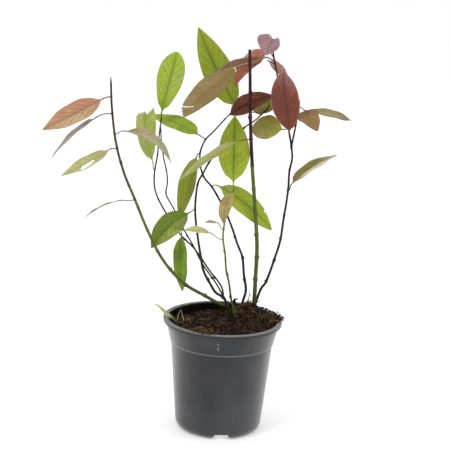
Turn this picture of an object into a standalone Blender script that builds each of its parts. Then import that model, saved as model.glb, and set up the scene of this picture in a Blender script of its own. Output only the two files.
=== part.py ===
"""A Virginia sweetspire (Itea virginica) in a round nursery pot, at its real size.

The pot stands on z = 0 with its axis on Z, +X to the right and +Y away from the viewer.
All tables and sizes are in millimetres, and the meshes are made from them in metres.
"""

import math
from collections import namedtuple

import bmesh
import bpy
from mathutils import Vector

MM = 0.001
CLEARANCE = 0.3
SMOOTH_BELOW = math.radians(40)

# Pot: a lip, a tapered collar, a small step and a tapered body
POT_HEIGHT = 124.0
RIM_RADIUS = 65.0
LIP_HEIGHT = 4.0
LIP_EDGE = 0.6
COLLAR_TOP_RADIUS = 61.7
COLLAR_FOOT_RADIUS = 56.7
COLLAR_FOOT_Z = 98.5
STEP_HEIGHT = 0.5
BODY_TOP_RADIUS = 55.7
BODY_FOOT_RADIUS = 47.6
CORNER_HEIGHT = 10.0
FOOT_RADIUS = 40.0
FOOT_RING = 2.6
POT_WALL = 1.7
POT_SIDES = 48

# Underside: a flat disc in the middle, a raised channel round it, holes and foot notches
DISC_RADIUS = 22.0
DISC_DRAFT = 0.8
DISC_ROUND = 1.5
CHANNEL_HEIGHT = 5.0
INNER_CORNER = 4.0
DRAIN_RADIUS = 4.5
NOTCH_WIDTH = 20.0
NOTCH_TOP = 13.0
NOTCH_HEIGHT = 4.6
NOTCH_COUNT = 4
NOTCH_TURN = math.radians(-84)
DRAIN_SIDES = 10

# Soil: it slopes down to the left and to the back, with a mossy mound at the back right
SOIL_Z = 118.3
SOIL_SLOPE = 4.0
SOIL_RISE = 2.2
MOUND_AT = (29.0, 34.0)
MOUND_HEIGHT = 13.0
MOUND_SPREAD = 11.5
SOIL_SIDES = 40
SOIL_RINGS = (0.22, 0.42, 0.6, 0.76, 0.9, 1.0)
EDGE_START = 0.75
EDGE_END = 0.97
EDGE_DROP = 0.65

# Stems
STEM_SIDES = 7
STEM_STEP = 11.0
BUD_GAP = 27.0
BUD_HEIGHT = 0.8
BUD_LENGTH = 2.2
NODE_SWELLING = 0.18
BUD_TURN = 2 * math.pi * 3 / 7
RING_GAP = 0.6
HOLE_SIDES = 8
HOLE_FLARE = ((4.0, 0.7), (14.0, 3.0))

# Leaves
BLADE = 0.62
MIDRIB = 0.45
MIDRIB_TAPER = 0.7
STALK_RADIUS = 0.75
STALK_BEND = 0.38
STALK_STATIONS = (0.0, 0.45)
TIP_NARROWING = 0.3
ACROSS = (-1.0, -0.55, 0.0, 0.55, 1.0)
STALK_RISE = (0.3, 0.85, 1.0, 0.85, 0.3)
BLADE_STATIONS = (0.0, 0.08, 0.2, 0.34, 0.48, 0.62, 0.76, 0.89, 1.0)
BLADE_BLEND = 0.14
WIDEST = 0.45
BASE_FULLNESS = 0.75
TIP_DRAWN = 0.88
WAVE = 0.05
WAVES = 2.3

# A leaf runs from a point near its stem, over its blade's base, to its tip. Its upper side
# looks along face, arch lifts the middle of the midrib to that side, bow moves it to the
# right of someone who walks up the leaf, and fold lifts the margins. A torn leaf ends at the
# share cut of its length.
Leaf = namedtuple(
    "Leaf",
    "name near base tip width face arch fold bow widest drawn cut terminal",
    defaults=(0.0, WIDEST, TIP_DRAWN, 1.0, False),
)

# A shoot stands in the soil by its root point, unless it grows from another one.
Shoot = namedtuple("Shoot", "name root points base_radius tip_radius colour leaves")

LEFT_SHOOT = Shoot(
    "left_shoot",
    None,
    [(1.4, 18.4, 133.3), (-0.6, 17.4, 133.1), (-7, 15, 136.5), (-16, 11, 142.5), (-44, 0, 161),
     (-67, -12, 189), (-84, -20, 222), (-99, -26, 258), (-111, -31, 287), (-120, -35, 319),
     (-125, -39, 356), (-127, -42, 390)],
    1.9, 1.0, "green_stem",
    [
        Leaf("upper", (-126, -40, 367), (-134, -43, 366), (-194, -58, 333), 29, (-2, -6, 7), 2, 0.12,
             bow=-2.5),
        Leaf("edgewise", (-125, -38, 351), (-142, -32, 344), (-189, -18, 296), 23, (-7, -2, 7), 2.5, 0.2),
        Leaf("bitten", (-120, -35, 312), (-128, -40, 311), (-173, -62, 287), 23, (-2, -5, 8), 0, 0.15,
             bow=-1.5),
        Leaf("lowest", (-100, -26, 258), (-116, -34, 257), (-146, -55, 245), 15, (-8, 3, 18), 1.5, 0.06),
        Leaf("inner", (-122, -36, 328), (-111, -40, 333), (-62, -30, 299), 25, (6, -2, 8), 8, 0.3),
    ],
)

CENTRE_SHOOT = Shoot(
    "centre_shoot",
    (33, 36, 112),
    [(34, 35, 133), (34, 34, 159), (33.5, 27, 200), (28.5, 20, 248), (24, 14, 286), (19, 7, 338),
     (16.5, 1, 379), (14, -5, 419)],
    2.3, 1.6, "green_stem",
    [
        Leaf("pale", (19, 8, 321), (8, 2, 321), (-54, -30, 281), 26, (-6, 4, 6), 2, 0.12),
        Leaf("torn", (15, -3, 403), (1, -8, 399), (-58, -24, 344), 27, (-3, -8, 5), 3, 0.1,
             bow=1, cut=0.9),
    ],
)

RIGHT_SHOOT = Shoot(
    "right_shoot",
    (31, 43, 112),
    [(36, 39, 132), (41, 43, 147), (46, 42, 155), (54, 38, 184), (59, 35, 206), (61, 32, 230),
     (63, 29, 251), (64, 27, 268), (64, 25, 286), (66, 22, 301), (64, 20, 316), (62, 22, 325),
     (57, 26, 347), (50, 29, 368), (45, 30, 389), (41, 30, 405), (39, 30, 414)],
    1.6, 0.9, "dark_stem",
    [
        Leaf("low_grey", (64, 27, 265), (67, 24, 272), (114, 8, 310), 24, (-4, 6, 7), 3, 0.15, bow=2),
        Leaf("maroon", (63, 22, 325), (61, 16, 330), (50, 2, 396), 31, (-3, -9, -1), 3, 0.12,
             bow=1, widest=0.56, drawn=0.55),
        Leaf("tan", (60, 24, 333), (55, 28, 331), (20, 52, 326), 28, (-5, -7, 5), 4, 0.1),
        Leaf("hidden_olive", (53, 27, 354), (48, 35, 355), (21, 56, 348), 24, (-5, -6, 6), 3, 0.15),
        Leaf("long_brown", (41, 30, 404), (31, 25, 408), (-22, 8, 392), 18, (-2, -3, 9), 0.5, 0.25),
        Leaf("coral", (40, 30, 409), (34, 34, 414), (0, 30, 373), 17, (-3, -9, 4), 3, 0.12,
             bow=6, widest=0.3),
        Leaf("pale_pink", (42, 30, 400), (35, 37, 403), (58, 43, 384), 14, (6, -6, 5), 1, 0.12),
        Leaf("heart", (39, 30, 414), (39, 28, 417), (33, -6, 414), 25, (1, 1, 9), 12, 0.3,
             bow=-3, drawn=0.5, terminal=True),
    ],
)

RIGHT_ARM = Shoot(
    "right_arm",
    None,
    [(64, 20, 312), (65, 20, 319), (66, 21, 325), (68, 24, 338), (69, 25, 346), (70, 26, 355),
     (71, 27, 366)],
    1.2, 0.7, "dark_stem",
    [
        Leaf("rusty", (68, 24, 338), (72, 22, 345), (91, 6, 337), 23, (0, -5, 8), 10, 0.1),
        Leaf("far_olive", (70, 26, 356), (79, 31, 352), (128, 42, 342), 18, (2, -3, 9), 2, 0.15,
             widest=0.64),
    ],
)

OLD_CROWN = Shoot(
    "old_crown",
    (15.4, 21, 103),
    [(10, 20, 117), (5, 19, 130), (0, 20, 141), (-9, 21, 146), (-16, 22, 156), (-24, 24, 170),
     (-28, 26, 187), (-32, 28, 207), (-36, 30, 233), (-36, 29, 253), (-34, 28, 269),
     (-30, 28, 277), (-22, 28, 293), (-10, 29, 308), (1, 30, 319), (12, 30, 330), (23, 31, 338),
     (33, 32, 348), (38, 33, 354), (37, 34, 362)],
    1.7, 0.7, "dark_stem",
    [
        Leaf("dark_green", (-36, 30, 236), (-42, 23, 235), (-81, -2, 199), 28, (-2, -8, 6), 3, 0.12,
             bow=3),
        Leaf("great_green", (30, 32, 344), (4, 35, 350), (-42, 47, 434), 34, (2, -9, 3), 2, 0.12,
             bow=-2.5, widest=0.42),
    ],
)

CROWN_BACK_TWIG = Shoot(
    "crown_back_twig",
    None,
    [(0, 20, 139), (-3, 24, 152), (-17, 31, 168), (-36, 39, 191), (-51, 43, 204), (-69, 46, 228),
     (-81, 45, 251), (-83, 42, 271), (-80, 37, 295), (-79, 32, 315), (-77, 27, 336)],
    1.1, 0.8, "dark_stem",
    [
        Leaf("torn_pale", (-82, 42, 278), (-85, 36, 287), (-93, 21, 362), 23, (5, -8, -1), 4, 0.12,
             bow=-7, cut=0.78),
        Leaf("tall_lime", (-77, 27, 336), (-77, 27, 343), (-63, 34, 408), 29, (-2, -10, 2), 2, 0.12,
             bow=0.5, widest=0.66, drawn=0.6, terminal=True),
    ],
)

CROWN_FRONT_TWIG = Shoot(
    "crown_front_twig",
    None,
    [(1, 19, 140), (-9, 22, 156), (-25, 27, 176), (-37, 32, 196), (-50, 36, 216), (-60, 37, 235),
     (-69, 37, 251), (-68, 35, 264), (-69, 33, 276), (-73, 30, 293), (-76, 25, 313),
     (-77, 21, 331)],
    1.0, 0.7, "dark_stem",
    [
        Leaf("hanging", (-48, 36, 213), (-50, 31, 208), (-46, 24, 145), 23, (-7, -7, 0), 1, 0.15,
             drawn=0.75),
    ],
)

ARCHED_SHOOT = Shoot(
    "arched_shoot",
    (17, 35, 112),
    [(21, 33, 133), (24, 33, 147), (21, 31, 165), (18, 27, 187), (12, 23, 202), (6, 19, 219),
     (-1, 15, 236), (-8, 12, 250), (-19, 9, 268), (-27, 8, 277), (-31, 7, 286), (-33, 7, 297),
     (-33, 8, 306), (-28, 11, 319), (-21, 15, 326), (-8, 20, 341)],
    1.6, 0.8, "dark_stem",
    [
        Leaf("spread_green", (-20, 9, 268), (-13, 12, 269), (49, 42, 215), 26, (6, -8, 3), 3, 0.1,
             bow=-3, drawn=0.75),
        Leaf("olive", (-33, 8, 304), (-36, 8, 302), (-53, 31, 225), 20, (-4, -8, 1), 0, 0.15, bow=2),
        Leaf("vivid_green", (-28, 11, 319), (-35, 17, 322), (-89, 52, 335), 25, (0, -4, 9), 3, 0.12,
             widest=0.38, drawn=0.7),
        Leaf("dusky", (-8, 19, 341), (-5, 21, 344), (43, 22, 368), 25, (-3, -7, 7), 5, 0.15,
             terminal=True),
    ],
)

YOUNG_SHOOT = Shoot(
    "young_shoot",
    (17, 16.5, 103),
    [(14, 16, 118), (11, 15, 131), (8, 14, 142), (5, 12, 160), (1, 10, 176), (-1, 8, 194),
     (-4, 6, 211), (-4, 6, 222), (-2, 6, 238), (2, 5, 254), (5, 4, 268)],
    1.2, 0.9, "green_stem",
    [
        Leaf("upright", (5, 4, 268), (4, 6, 273), (2, 28, 343), 34, (2, -9, 3), 3, 0.14,
             bow=-1, terminal=True),
        Leaf("drooping_pink", (4, 4, 263), (5, 0, 265), (-4, -6, 231), 16, (-6, -8, 3), 2, 0.15,
             bow=3),
        Leaf("tiny", (-4, 6, 222), (-11, 3, 230), (-24, -4, 231), 7, (2, -2, 10), 1, 0.1),
        Leaf("small_pale", (-4, 6, 211), (-18, 0, 219), (-46, -14, 224), 12, (3, -3, 9), 2, 0.15),
    ],
)

# Each node of stems: the shoot that it is named after, and the twigs that grew out of it
STEM_NODES = (
    (OLD_CROWN, (CROWN_BACK_TWIG, CROWN_FRONT_TWIG)),
    (LEFT_SHOOT, ()),
    (CENTRE_SHOOT, ()),
    (RIGHT_SHOOT, (RIGHT_ARM,)),
    (ARCHED_SHOOT, ()),
    (YOUNG_SHOOT, ()),
)

# A blade of grass grows by the left rim and leans out over it.
GRASS_PATH = [(-52, -5, 121), (-57, -9, 125.5), (-61, -11, 129), (-68, -15, 137), (-74, -19, 142)]
GRASS_ROOT = (-46, -1, 108)
GRASS_WIDTH = 4.5
GRASS_STATIONS = (0.0, 0.25, 0.5, 0.75, 1.0)
GRASS_FACE = (-1, -3, 2)
GRASS_SECTION = ((-1, 0.6), (0, 0.2), (1, 0.6), (1, 0.0), (0, -0.5), (-1, 0.0))
GRASS_TIP = 0.3
GRASS_COLOUR = (0.45, 0.5, 0.18)

LEAF_COLOURS = {
    "left_shoot_upper": (0.42, 0.16, 0.11),
    "left_shoot_edgewise": (0.25, 0.20, 0.14),
    "left_shoot_bitten": (0.33, 0.38, 0.10),
    "left_shoot_lowest": (0.22, 0.28, 0.16),
    "left_shoot_inner": (0.42, 0.33, 0.22),
    "centre_shoot_pale": (0.32, 0.38, 0.20),
    "centre_shoot_torn": (0.25, 0.17, 0.07),
    "right_shoot_low_grey": (0.28, 0.26, 0.15),
    "right_shoot_maroon": (0.19, 0.05, 0.04),
    "right_shoot_tan": (0.33, 0.27, 0.09),
    "right_shoot_hidden_olive": (0.13, 0.17, 0.03),
    "right_shoot_long_brown": (0.20, 0.09, 0.06),
    "right_shoot_coral": (0.45, 0.09, 0.08),
    "right_shoot_pale_pink": (0.50, 0.27, 0.22),
    "right_shoot_heart": (0.24, 0.09, 0.11),
    "right_arm_rusty": (0.35, 0.16, 0.06),
    "right_arm_far_olive": (0.33, 0.27, 0.14),
    "old_crown_dark_green": (0.07, 0.15, 0.06),
    "crown_back_twig_torn_pale": (0.33, 0.42, 0.14),
    "arched_shoot_dusky": (0.11, 0.03, 0.02),
    "young_shoot_drooping_pink": (0.50, 0.34, 0.22),
}
FRESH_GREEN = (0.22, 0.40, 0.05)
STEM_COLOURS = {"green_stem": (0.19, 0.24, 0.07), "dark_stem": (0.06, 0.03, 0.03)}
POT_COLOUR = (0.055, 0.055, 0.06)
SOIL_COLOUR = (0.06, 0.035, 0.02)


def clear_scene():
    for obj in list(bpy.data.objects):
        bpy.data.objects.remove(obj)


def material(name, colour, roughness):
    """A Principled material, made once for each name."""
    made = bpy.data.materials.get(name) or bpy.data.materials.new(name)
    made.use_nodes = True
    shader = made.node_tree.nodes["Principled BSDF"]
    shader.inputs["Base Color"].default_value = (*colour, 1.0)
    shader.inputs["Roughness"].default_value = roughness
    return made


def new_object(name, points, faces, finish):
    """An object from points in millimetres, with its faces turned outwards."""
    mesh = bpy.data.meshes.new(name)
    mesh.from_pydata([Vector(p) * MM for p in points], [], faces)
    shape = bmesh.new()
    shape.from_mesh(mesh)
    bmesh.ops.recalc_face_normals(shape, faces=shape.faces)
    shape.to_mesh(mesh)
    shape.free()
    mesh.materials.append(finish)
    mesh.shade_smooth()
    mesh.set_sharp_from_angle(angle=SMOOTH_BELOW)
    obj = bpy.data.objects.new(name, mesh)
    bpy.context.scene.collection.objects.link(obj)
    return obj


def as_cutter(obj):
    obj.hide_render = True
    obj.display_type = "WIRE"
    return obj


def collection_of(name, objects):
    """A collection that holds these objects and is linked to the scene."""
    made = bpy.data.collections.new(name)
    bpy.context.scene.collection.children.link(made)
    for obj in objects:
        bpy.context.scene.collection.objects.unlink(obj)
        made.objects.link(obj)
    return made


def boolean(obj, collection, operation):
    modifier = obj.modifiers.new(operation.title(), "BOOLEAN")
    modifier.operation = operation
    modifier.operand_type = "COLLECTION"
    modifier.collection = collection
    modifier.solver = "EXACT"


def grow_together(obj, others):
    """Joins the others to obj with one union, and removes them."""
    collection = collection_of(obj.name + "_twigs", others)
    boolean(obj, collection, "UNION")
    graph = bpy.context.evaluated_depsgraph_get()
    joined = bpy.data.meshes.new_from_object(obj.evaluated_get(graph))
    obj.modifiers.clear()
    obj.data = joined
    for other in others:
        bpy.data.objects.remove(other)
    bpy.data.collections.remove(collection)


def turned(profile, sides):
    """Points and faces of a profile of (radius, z) turned round Z. Radius 0 is one point."""
    points, rows, faces = [], [], []
    for radius, z in profile:
        first = len(points)
        count = 1 if radius == 0 else sides
        for k in range(count):
            turn = 2 * math.pi * k / sides
            points.append((radius * math.cos(turn), radius * math.sin(turn), z))
        rows.append([first + k % count for k in range(sides)])
    for low, high in zip(rows, rows[1:]):
        for k in range(sides):
            n = (k + 1) % sides
            corners = (low[k], low[n], high[n], high[k])
            faces.append(tuple(dict.fromkeys(corners)))
    return points, faces


def loft(rings):
    """Points and faces of a closed skin through rings of equal size, with flat ends."""
    size = len(rings[0])
    points = [p for ring in rings for p in ring]
    faces = [tuple(range(size)), tuple(range(len(points) - size, len(points)))]
    for first in range(0, len(points) - size, size):
        for j in range(size):
            k = (j + 1) % size
            faces.append((first + j, first + k, first + size + k, first + size + j))
    return points, faces


class Path:
    """A smooth curve through hand-placed points, read by the length along it."""

    STEP = 2.0

    def __init__(self, controls):
        self.points = self.smooth([Vector(p) for p in controls])
        self.lengths = [0.0]
        for a, b in zip(self.points, self.points[1:]):
            self.lengths.append(self.lengths[-1] + (b - a).length)
        self.length = self.lengths[-1]
        self.sides = self.carried_sides()

    def smooth(self, controls):
        before = 2 * controls[0] - controls[1]
        after = 2 * controls[-1] - controls[-2]
        ends = [before, *controls, after]
        points = []
        for a, b, c, d in zip(ends, ends[1:], ends[2:], ends[3:]):
            span = (c - b).length
            leave = (c - a) * span / ((b - a).length + span)
            arrive = (d - b) * span / ((d - c).length + span)
            count = max(1, round(span / self.STEP))
            for i in range(count):
                t = i / count
                points.append(
                    b * (2 * t**3 - 3 * t**2 + 1)
                    + leave * (t**3 - 2 * t**2 + t)
                    + c * (3 * t**2 - 2 * t**3)
                    + arrive * (t**3 - t**2)
                )
        return points + [controls[-1]]

    def direction(self, i):
        low, high = max(0, i - 1), min(len(self.points) - 1, i + 1)
        return (self.points[high] - self.points[low]).normalized()

    def carried_sides(self):
        """A vector across the curve at each point, carried along without twisting."""
        tangent = self.direction(0)
        side = tangent.orthogonal().normalized()
        sides = [side]
        for i in range(1, len(self.points)):
            turned_tangent = self.direction(i)
            side = tangent.rotation_difference(turned_tangent) @ side
            tangent = turned_tangent
            sides.append(side.normalized())
        return sides

    def frame(self, s):
        """Centre, tangent and two vectors across the curve, at the length s along it."""
        s = min(max(s, 0.0), self.length)
        i = 0
        while i < len(self.points) - 2 and self.lengths[i + 1] < s:
            i += 1
        t = (s - self.lengths[i]) / (self.lengths[i + 1] - self.lengths[i])
        centre = self.points[i].lerp(self.points[i + 1], t)
        tangent = self.direction(i).lerp(self.direction(i + 1), t).normalized()
        side = self.sides[i].lerp(self.sides[i + 1], t)
        side = (side - tangent * side.dot(tangent)).normalized()
        return centre, tangent, side, tangent.cross(side)

    def nearest(self, target):
        """The length along the curve at its nearest point to target."""
        target = Vector(target)
        i = min(range(len(self.points)), key=lambda k: (self.points[k] - target).length)
        return self.lengths[i]


class Stem:
    """A shoot's own tube: its path, its taper, and its nodes with a bud on each."""

    def __init__(self, shoot):
        self.shoot = shoot
        self.path = Path(shoot.points)
        self.leaf_nodes = [self.path.nearest(leaf.near) for leaf in shoot.leaves]
        self.buds = []
        for k in range(1, int(self.path.length / BUD_GAP)):
            s = k * BUD_GAP
            if all(abs(s - node) > 3 * BUD_LENGTH for node in self.leaf_nodes):
                self.buds.append((s, k * BUD_TURN))

    def radius(self, s):
        share = min(max(s / self.path.length, 0.0), 1.0)
        plain = self.shoot.base_radius + (self.shoot.tip_radius - self.shoot.base_radius) * share
        nodes = self.leaf_nodes + [bud for bud, _ in self.buds]
        swelling = max(self.hump(s - node) for node in nodes)
        return plain * (1 + NODE_SWELLING * swelling)

    @staticmethod
    def hump(away):
        return max(0.0, 1 - (away / BUD_LENGTH) ** 2)

    def surface(self, s, turn):
        """The distance from the path to the bark, with the bud where there is one."""
        bud = sum(
            self.hump(s - at) * max(0.0, math.cos(turn - angle)) ** 6 for at, angle in self.buds
        )
        return self.radius(s) + BUD_HEIGHT * bud

    def stations(self):
        count = round(self.path.length / STEM_STEP)
        plain = [self.path.length * i / count for i in range(count + 1)]
        nodes = self.leaf_nodes + [bud for bud, _ in self.buds]
        near = [node + d * BUD_LENGTH for node in nodes for d in (-1, 0, 1)]
        near = [s for s in near if 0 < s < self.path.length]
        kept = [s for s in plain if all(abs(s - n) > BUD_LENGTH for n in near)]
        ends = [0.0, self.path.length]
        merged = []
        for s in sorted(set(kept + near + ends)):
            if not merged or s - merged[-1] > RING_GAP:
                merged.append(s)
        return merged

    def ring(self, s):
        centre, _, side, other = self.path.frame(s)
        ring = []
        for k in range(STEM_SIDES):
            turn = 2 * math.pi * k / STEM_SIDES
            outward = side * math.cos(turn) + other * math.sin(turn)
            ring.append(centre + outward * self.surface(s, turn))
        return ring

    def rings(self):
        rings = [self.ring(s) for s in self.stations()]
        if self.shoot.root:
            shift = Vector(self.shoot.root) - self.path.points[0]
            rings.insert(0, [p + shift for p in rings[0]])
        return rings

    def seat(self, leaf):
        """Where this leaf's stalk leaves the stem, and the direction that it leaves in."""
        centre, tangent, _, _ = self.path.frame(self.path.nearest(leaf.near))
        if leaf.terminal:
            centre = self.path.points[-1]
            return centre + tangent * CLEARANCE, tangent
        away = Vector(leaf.base) - centre
        away = (away - tangent * away.dot(tangent)).normalized()
        reach = self.shoot.base_radius * (1 + NODE_SWELLING)
        share = self.path.nearest(leaf.near) / self.path.length
        reach += (self.shoot.tip_radius - self.shoot.base_radius) * share
        return centre + away * (reach + CLEARANCE), away


def bezier(points, t):
    """The point at share t of a Bezier curve, and its direction there."""
    while len(points) > 2:
        points = [a.lerp(b, t) for a, b in zip(points, points[1:])]
    return points[0].lerp(points[1], t), (points[1] - points[0]).normalized()


def half_width(leaf, s):
    """Half the blade's width at share s of its length: full at the base, drawn at the tip."""
    if s < leaf.widest:
        share = math.sin(math.pi / 2 * s / leaf.widest) ** BASE_FULLNESS
    else:
        share = math.sin(math.pi / 2 * (1 - s) / (1 - leaf.widest)) ** leaf.drawn
    return max(STALK_RADIUS * (1 - TIP_NARROWING * s), share * leaf.width / 2)


def blade_frame(leaf, tangent):
    across = tangent.cross(Vector(leaf.face)).normalized()
    return across, across.cross(tangent)


def leaf_ring(leaf, centre, tangent, s):
    """Ten points round the leaf: five on its upper side and five under them. s below 0 is
    the stalk, which is round, and s from 0 to 1 is the blade, which is flat and folded."""
    across, up = blade_frame(leaf, tangent)
    flat = min(max(s / BLADE_BLEND, 0.0), 1.0)
    half = half_width(leaf, max(s, 0.0))
    radius = STALK_RADIUS
    wave = WAVE * math.sin(2 * math.pi * WAVES * s + leaf.width)
    top, bottom = [], []
    for x, rise in zip(ACROSS, STALK_RISE):
        folded = leaf.fold * abs(x) * (2 - abs(x))
        lift = half * flat * (folded + wave * x * abs(x))
        rib = MIDRIB * (1 - MIDRIB_TAPER * max(s, 0.0)) if x == 0 else 0.0
        thick = radius * rise * (1 - flat) + BLADE / 2 * flat
        middle = centre + across * x * half + up * lift
        top.append(middle + up * thick)
        bottom.append(middle - up * (thick + rib * flat))
    return top + bottom[::-1]


def leaf_rings(leaf, start, away):
    base, tip = Vector(leaf.base), Vector(leaf.tip)
    chord = (tip - base).normalized()
    across, up = blade_frame(leaf, chord)
    blade = [base, (base + tip) / 2 + (up * leaf.arch + across * leaf.bow) * 2, tip]
    first = bezier(blade, 0.0)[1]
    reach = (base - start).length * STALK_BEND
    stalk = [start, start + away * reach, base - first * reach, base]
    rings = []
    for t in STALK_STATIONS:
        centre, tangent = bezier(stalk, t)
        rings.append(leaf_ring(leaf, centre, tangent, -1.0))
    for s in BLADE_STATIONS:
        centre, tangent = bezier(blade, s * leaf.cut)
        rings.append(leaf_ring(leaf, centre, tangent, s * leaf.cut))
    return rings


def leaf_skin(rings):
    """A closed skin whose upper and lower sides are split into the same triangles."""
    points, faces = loft(rings)
    size = len(rings[0])
    split = faces[:2]
    for k, (a, b, c, d) in enumerate(faces[2:]):
        upper_side = k % size < size // 2
        if upper_side:
            split += [(a, b, c), (a, c, d)]
        else:
            split += [(a, b, d), (b, c, d)]
    return points, split


def make_leaf(stem, leaf):
    name = f"{stem.shoot.name}_{leaf.name}"
    start, away = stem.seat(leaf)
    points, faces = leaf_skin(leaf_rings(leaf, start, away))
    finish = material(name, LEAF_COLOURS.get(name, FRESH_GREEN), 0.5)
    new_object(name + "_leaf", points, faces, finish)


def make_stem_tube(stem):
    finish = material(stem.shoot.colour, STEM_COLOURS[stem.shoot.colour], 0.6)
    return new_object(stem.shoot.name, *loft(stem.rings()), finish)


def soil_height(x, y):
    """The height of the soil at (x, y): a slope, a mound and small lumps."""
    dx, dy = x - MOUND_AT[0], y - MOUND_AT[1]
    mound = MOUND_HEIGHT * math.exp(-(dx * dx + dy * dy) / (2 * MOUND_SPREAD**2))
    lumps = math.sin(0.31 * x + 0.9) * math.sin(0.27 * y - 0.4)
    lumps += 0.6 * math.sin(0.53 * x - 0.47 * y)
    plane = SOIL_Z + (SOIL_SLOPE * x - SOIL_RISE * y) / BODY_TOP_RADIUS
    return plane + mound * edge_fall(x, y) + lumps


def edge_fall(x, y):
    """How much of the mound is left at (x, y): all of it over the middle of the pot, and
    little at its wall, so that the soil stays in."""
    share = math.hypot(x, y) / COLLAR_TOP_RADIUS
    near_wall = min(max((share - EDGE_START) / (EDGE_END - EDGE_START), 0.0), 1.0)
    return 1 - EDGE_DROP * near_wall


def inner_radius(z):
    """The pot's inner radius at the height z."""
    if z > COLLAR_FOOT_Z:
        share = (z - COLLAR_FOOT_Z) / (POT_HEIGHT - LIP_HEIGHT - COLLAR_FOOT_Z)
        radius = COLLAR_FOOT_RADIUS + (COLLAR_TOP_RADIUS - COLLAR_FOOT_RADIUS) * min(share, 1.0)
    else:
        share = (z - CORNER_HEIGHT) / (COLLAR_FOOT_Z - CORNER_HEIGHT)
        radius = BODY_FOOT_RADIUS + (BODY_TOP_RADIUS - BODY_FOOT_RADIUS) * share
    return radius - POT_WALL


def corner(z_share):
    """A point on the rounded corner between the foot and the body."""
    turn = math.pi / 2 * z_share
    radius = FOOT_RADIUS + (BODY_FOOT_RADIUS - FOOT_RADIUS) * math.sin(turn)
    return radius, CORNER_HEIGHT * (1 - math.cos(turn))


def make_pot():
    lip_foot = POT_HEIGHT - LIP_HEIGHT
    floor = CHANNEL_HEIGHT + POT_WALL
    profile = [
        (0, 0),
        (DISC_RADIUS, 0),
        (DISC_RADIUS + DISC_DRAFT, CHANNEL_HEIGHT),
        (FOOT_RADIUS - FOOT_RING - STEP_HEIGHT, CHANNEL_HEIGHT),
        (FOOT_RADIUS - FOOT_RING, 0),
        corner(0.0),
        corner(0.35),
        corner(0.68),
        corner(1.0),
        (BODY_TOP_RADIUS, COLLAR_FOOT_Z - STEP_HEIGHT),
        (COLLAR_FOOT_RADIUS, COLLAR_FOOT_Z),
        (COLLAR_TOP_RADIUS, lip_foot),
        (RIM_RADIUS - LIP_EDGE, lip_foot),
        (RIM_RADIUS, lip_foot + LIP_EDGE),
        (RIM_RADIUS, POT_HEIGHT - LIP_EDGE),
        (RIM_RADIUS - LIP_EDGE, POT_HEIGHT),
        (COLLAR_TOP_RADIUS - POT_WALL + LIP_EDGE, POT_HEIGHT),
        (COLLAR_TOP_RADIUS - POT_WALL, POT_HEIGHT - LIP_EDGE),
        (inner_radius(lip_foot), lip_foot),
        (COLLAR_FOOT_RADIUS - POT_WALL, COLLAR_FOOT_Z),
        (inner_radius(COLLAR_FOOT_Z - STEP_HEIGHT), COLLAR_FOOT_Z - STEP_HEIGHT),
        (inner_radius(floor + INNER_CORNER), floor + INNER_CORNER),
        (inner_radius(floor) - INNER_CORNER, floor),
        (DISC_RADIUS - DISC_DRAFT, floor),
        (DISC_RADIUS - DISC_DRAFT - DISC_ROUND, POT_WALL),
        (0, POT_WALL),
    ]
    pot = new_object("pot", *turned(profile, POT_SIDES), material("pot", POT_COLOUR, 0.55))
    cutters = [notch(k) for k in range(NOTCH_COUNT)] + [drain(k) for k in range(NOTCH_COUNT)]
    boolean(pot, collection_of("pot_cutters", cutters), "DIFFERENCE")
    return pot


def notch(k):
    """A cutter for one notch in the foot ring, wider at the bottom than at the top."""
    turn = NOTCH_TURN + 2 * math.pi * k / NOTCH_COUNT
    out = Vector((math.cos(turn), math.sin(turn), 0))
    along = Vector((-math.sin(turn), math.cos(turn), 0))
    corners = [(-NOTCH_WIDTH, -1), (NOTCH_WIDTH, -1)]
    corners += [(NOTCH_TOP, NOTCH_HEIGHT), (-NOTCH_TOP, NOTCH_HEIGHT)]
    rings = []
    for reach in (FOOT_RADIUS - 3 * FOOT_RING, BODY_FOOT_RADIUS + 4):
        rings.append([out * reach + along * w / 2 + Vector((0, 0, z)) for w, z in corners])
    return as_cutter(new_object(f"notch_{k}", *loft(rings), material("pot", POT_COLOUR, 0.55)))


def drain(k):
    """A cutter for one round hole in the channel's roof, between two notches."""
    turn = NOTCH_TURN + 2 * math.pi * (k + 0.5) / NOTCH_COUNT
    reach = (DISC_RADIUS + FOOT_RADIUS - FOOT_RING) / 2
    at = Vector((reach * math.cos(turn), reach * math.sin(turn), 0))
    rings = []
    for z in (CHANNEL_HEIGHT - 2, CHANNEL_HEIGHT + POT_WALL + 2):
        turns = [2 * math.pi * i / DRAIN_SIDES for i in range(DRAIN_SIDES)]
        ring = [Vector((math.cos(a), math.sin(a), 0)) * DRAIN_RADIUS for a in turns]
        rings.append([at + p + Vector((0, 0, z)) for p in ring])
    return as_cutter(new_object(f"drain_{k}", *loft(rings), material("pot", POT_COLOUR, 0.55)))


def soil_edge(turn):
    """The radius and height where the soil meets the pot's wall in this direction."""
    radius, z = COLLAR_TOP_RADIUS, SOIL_Z
    for _ in range(4):
        radius = inner_radius(z) - CLEARANCE
        z = min(soil_height(radius * math.cos(turn), radius * math.sin(turn)), POT_HEIGHT)
    return radius, z


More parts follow.
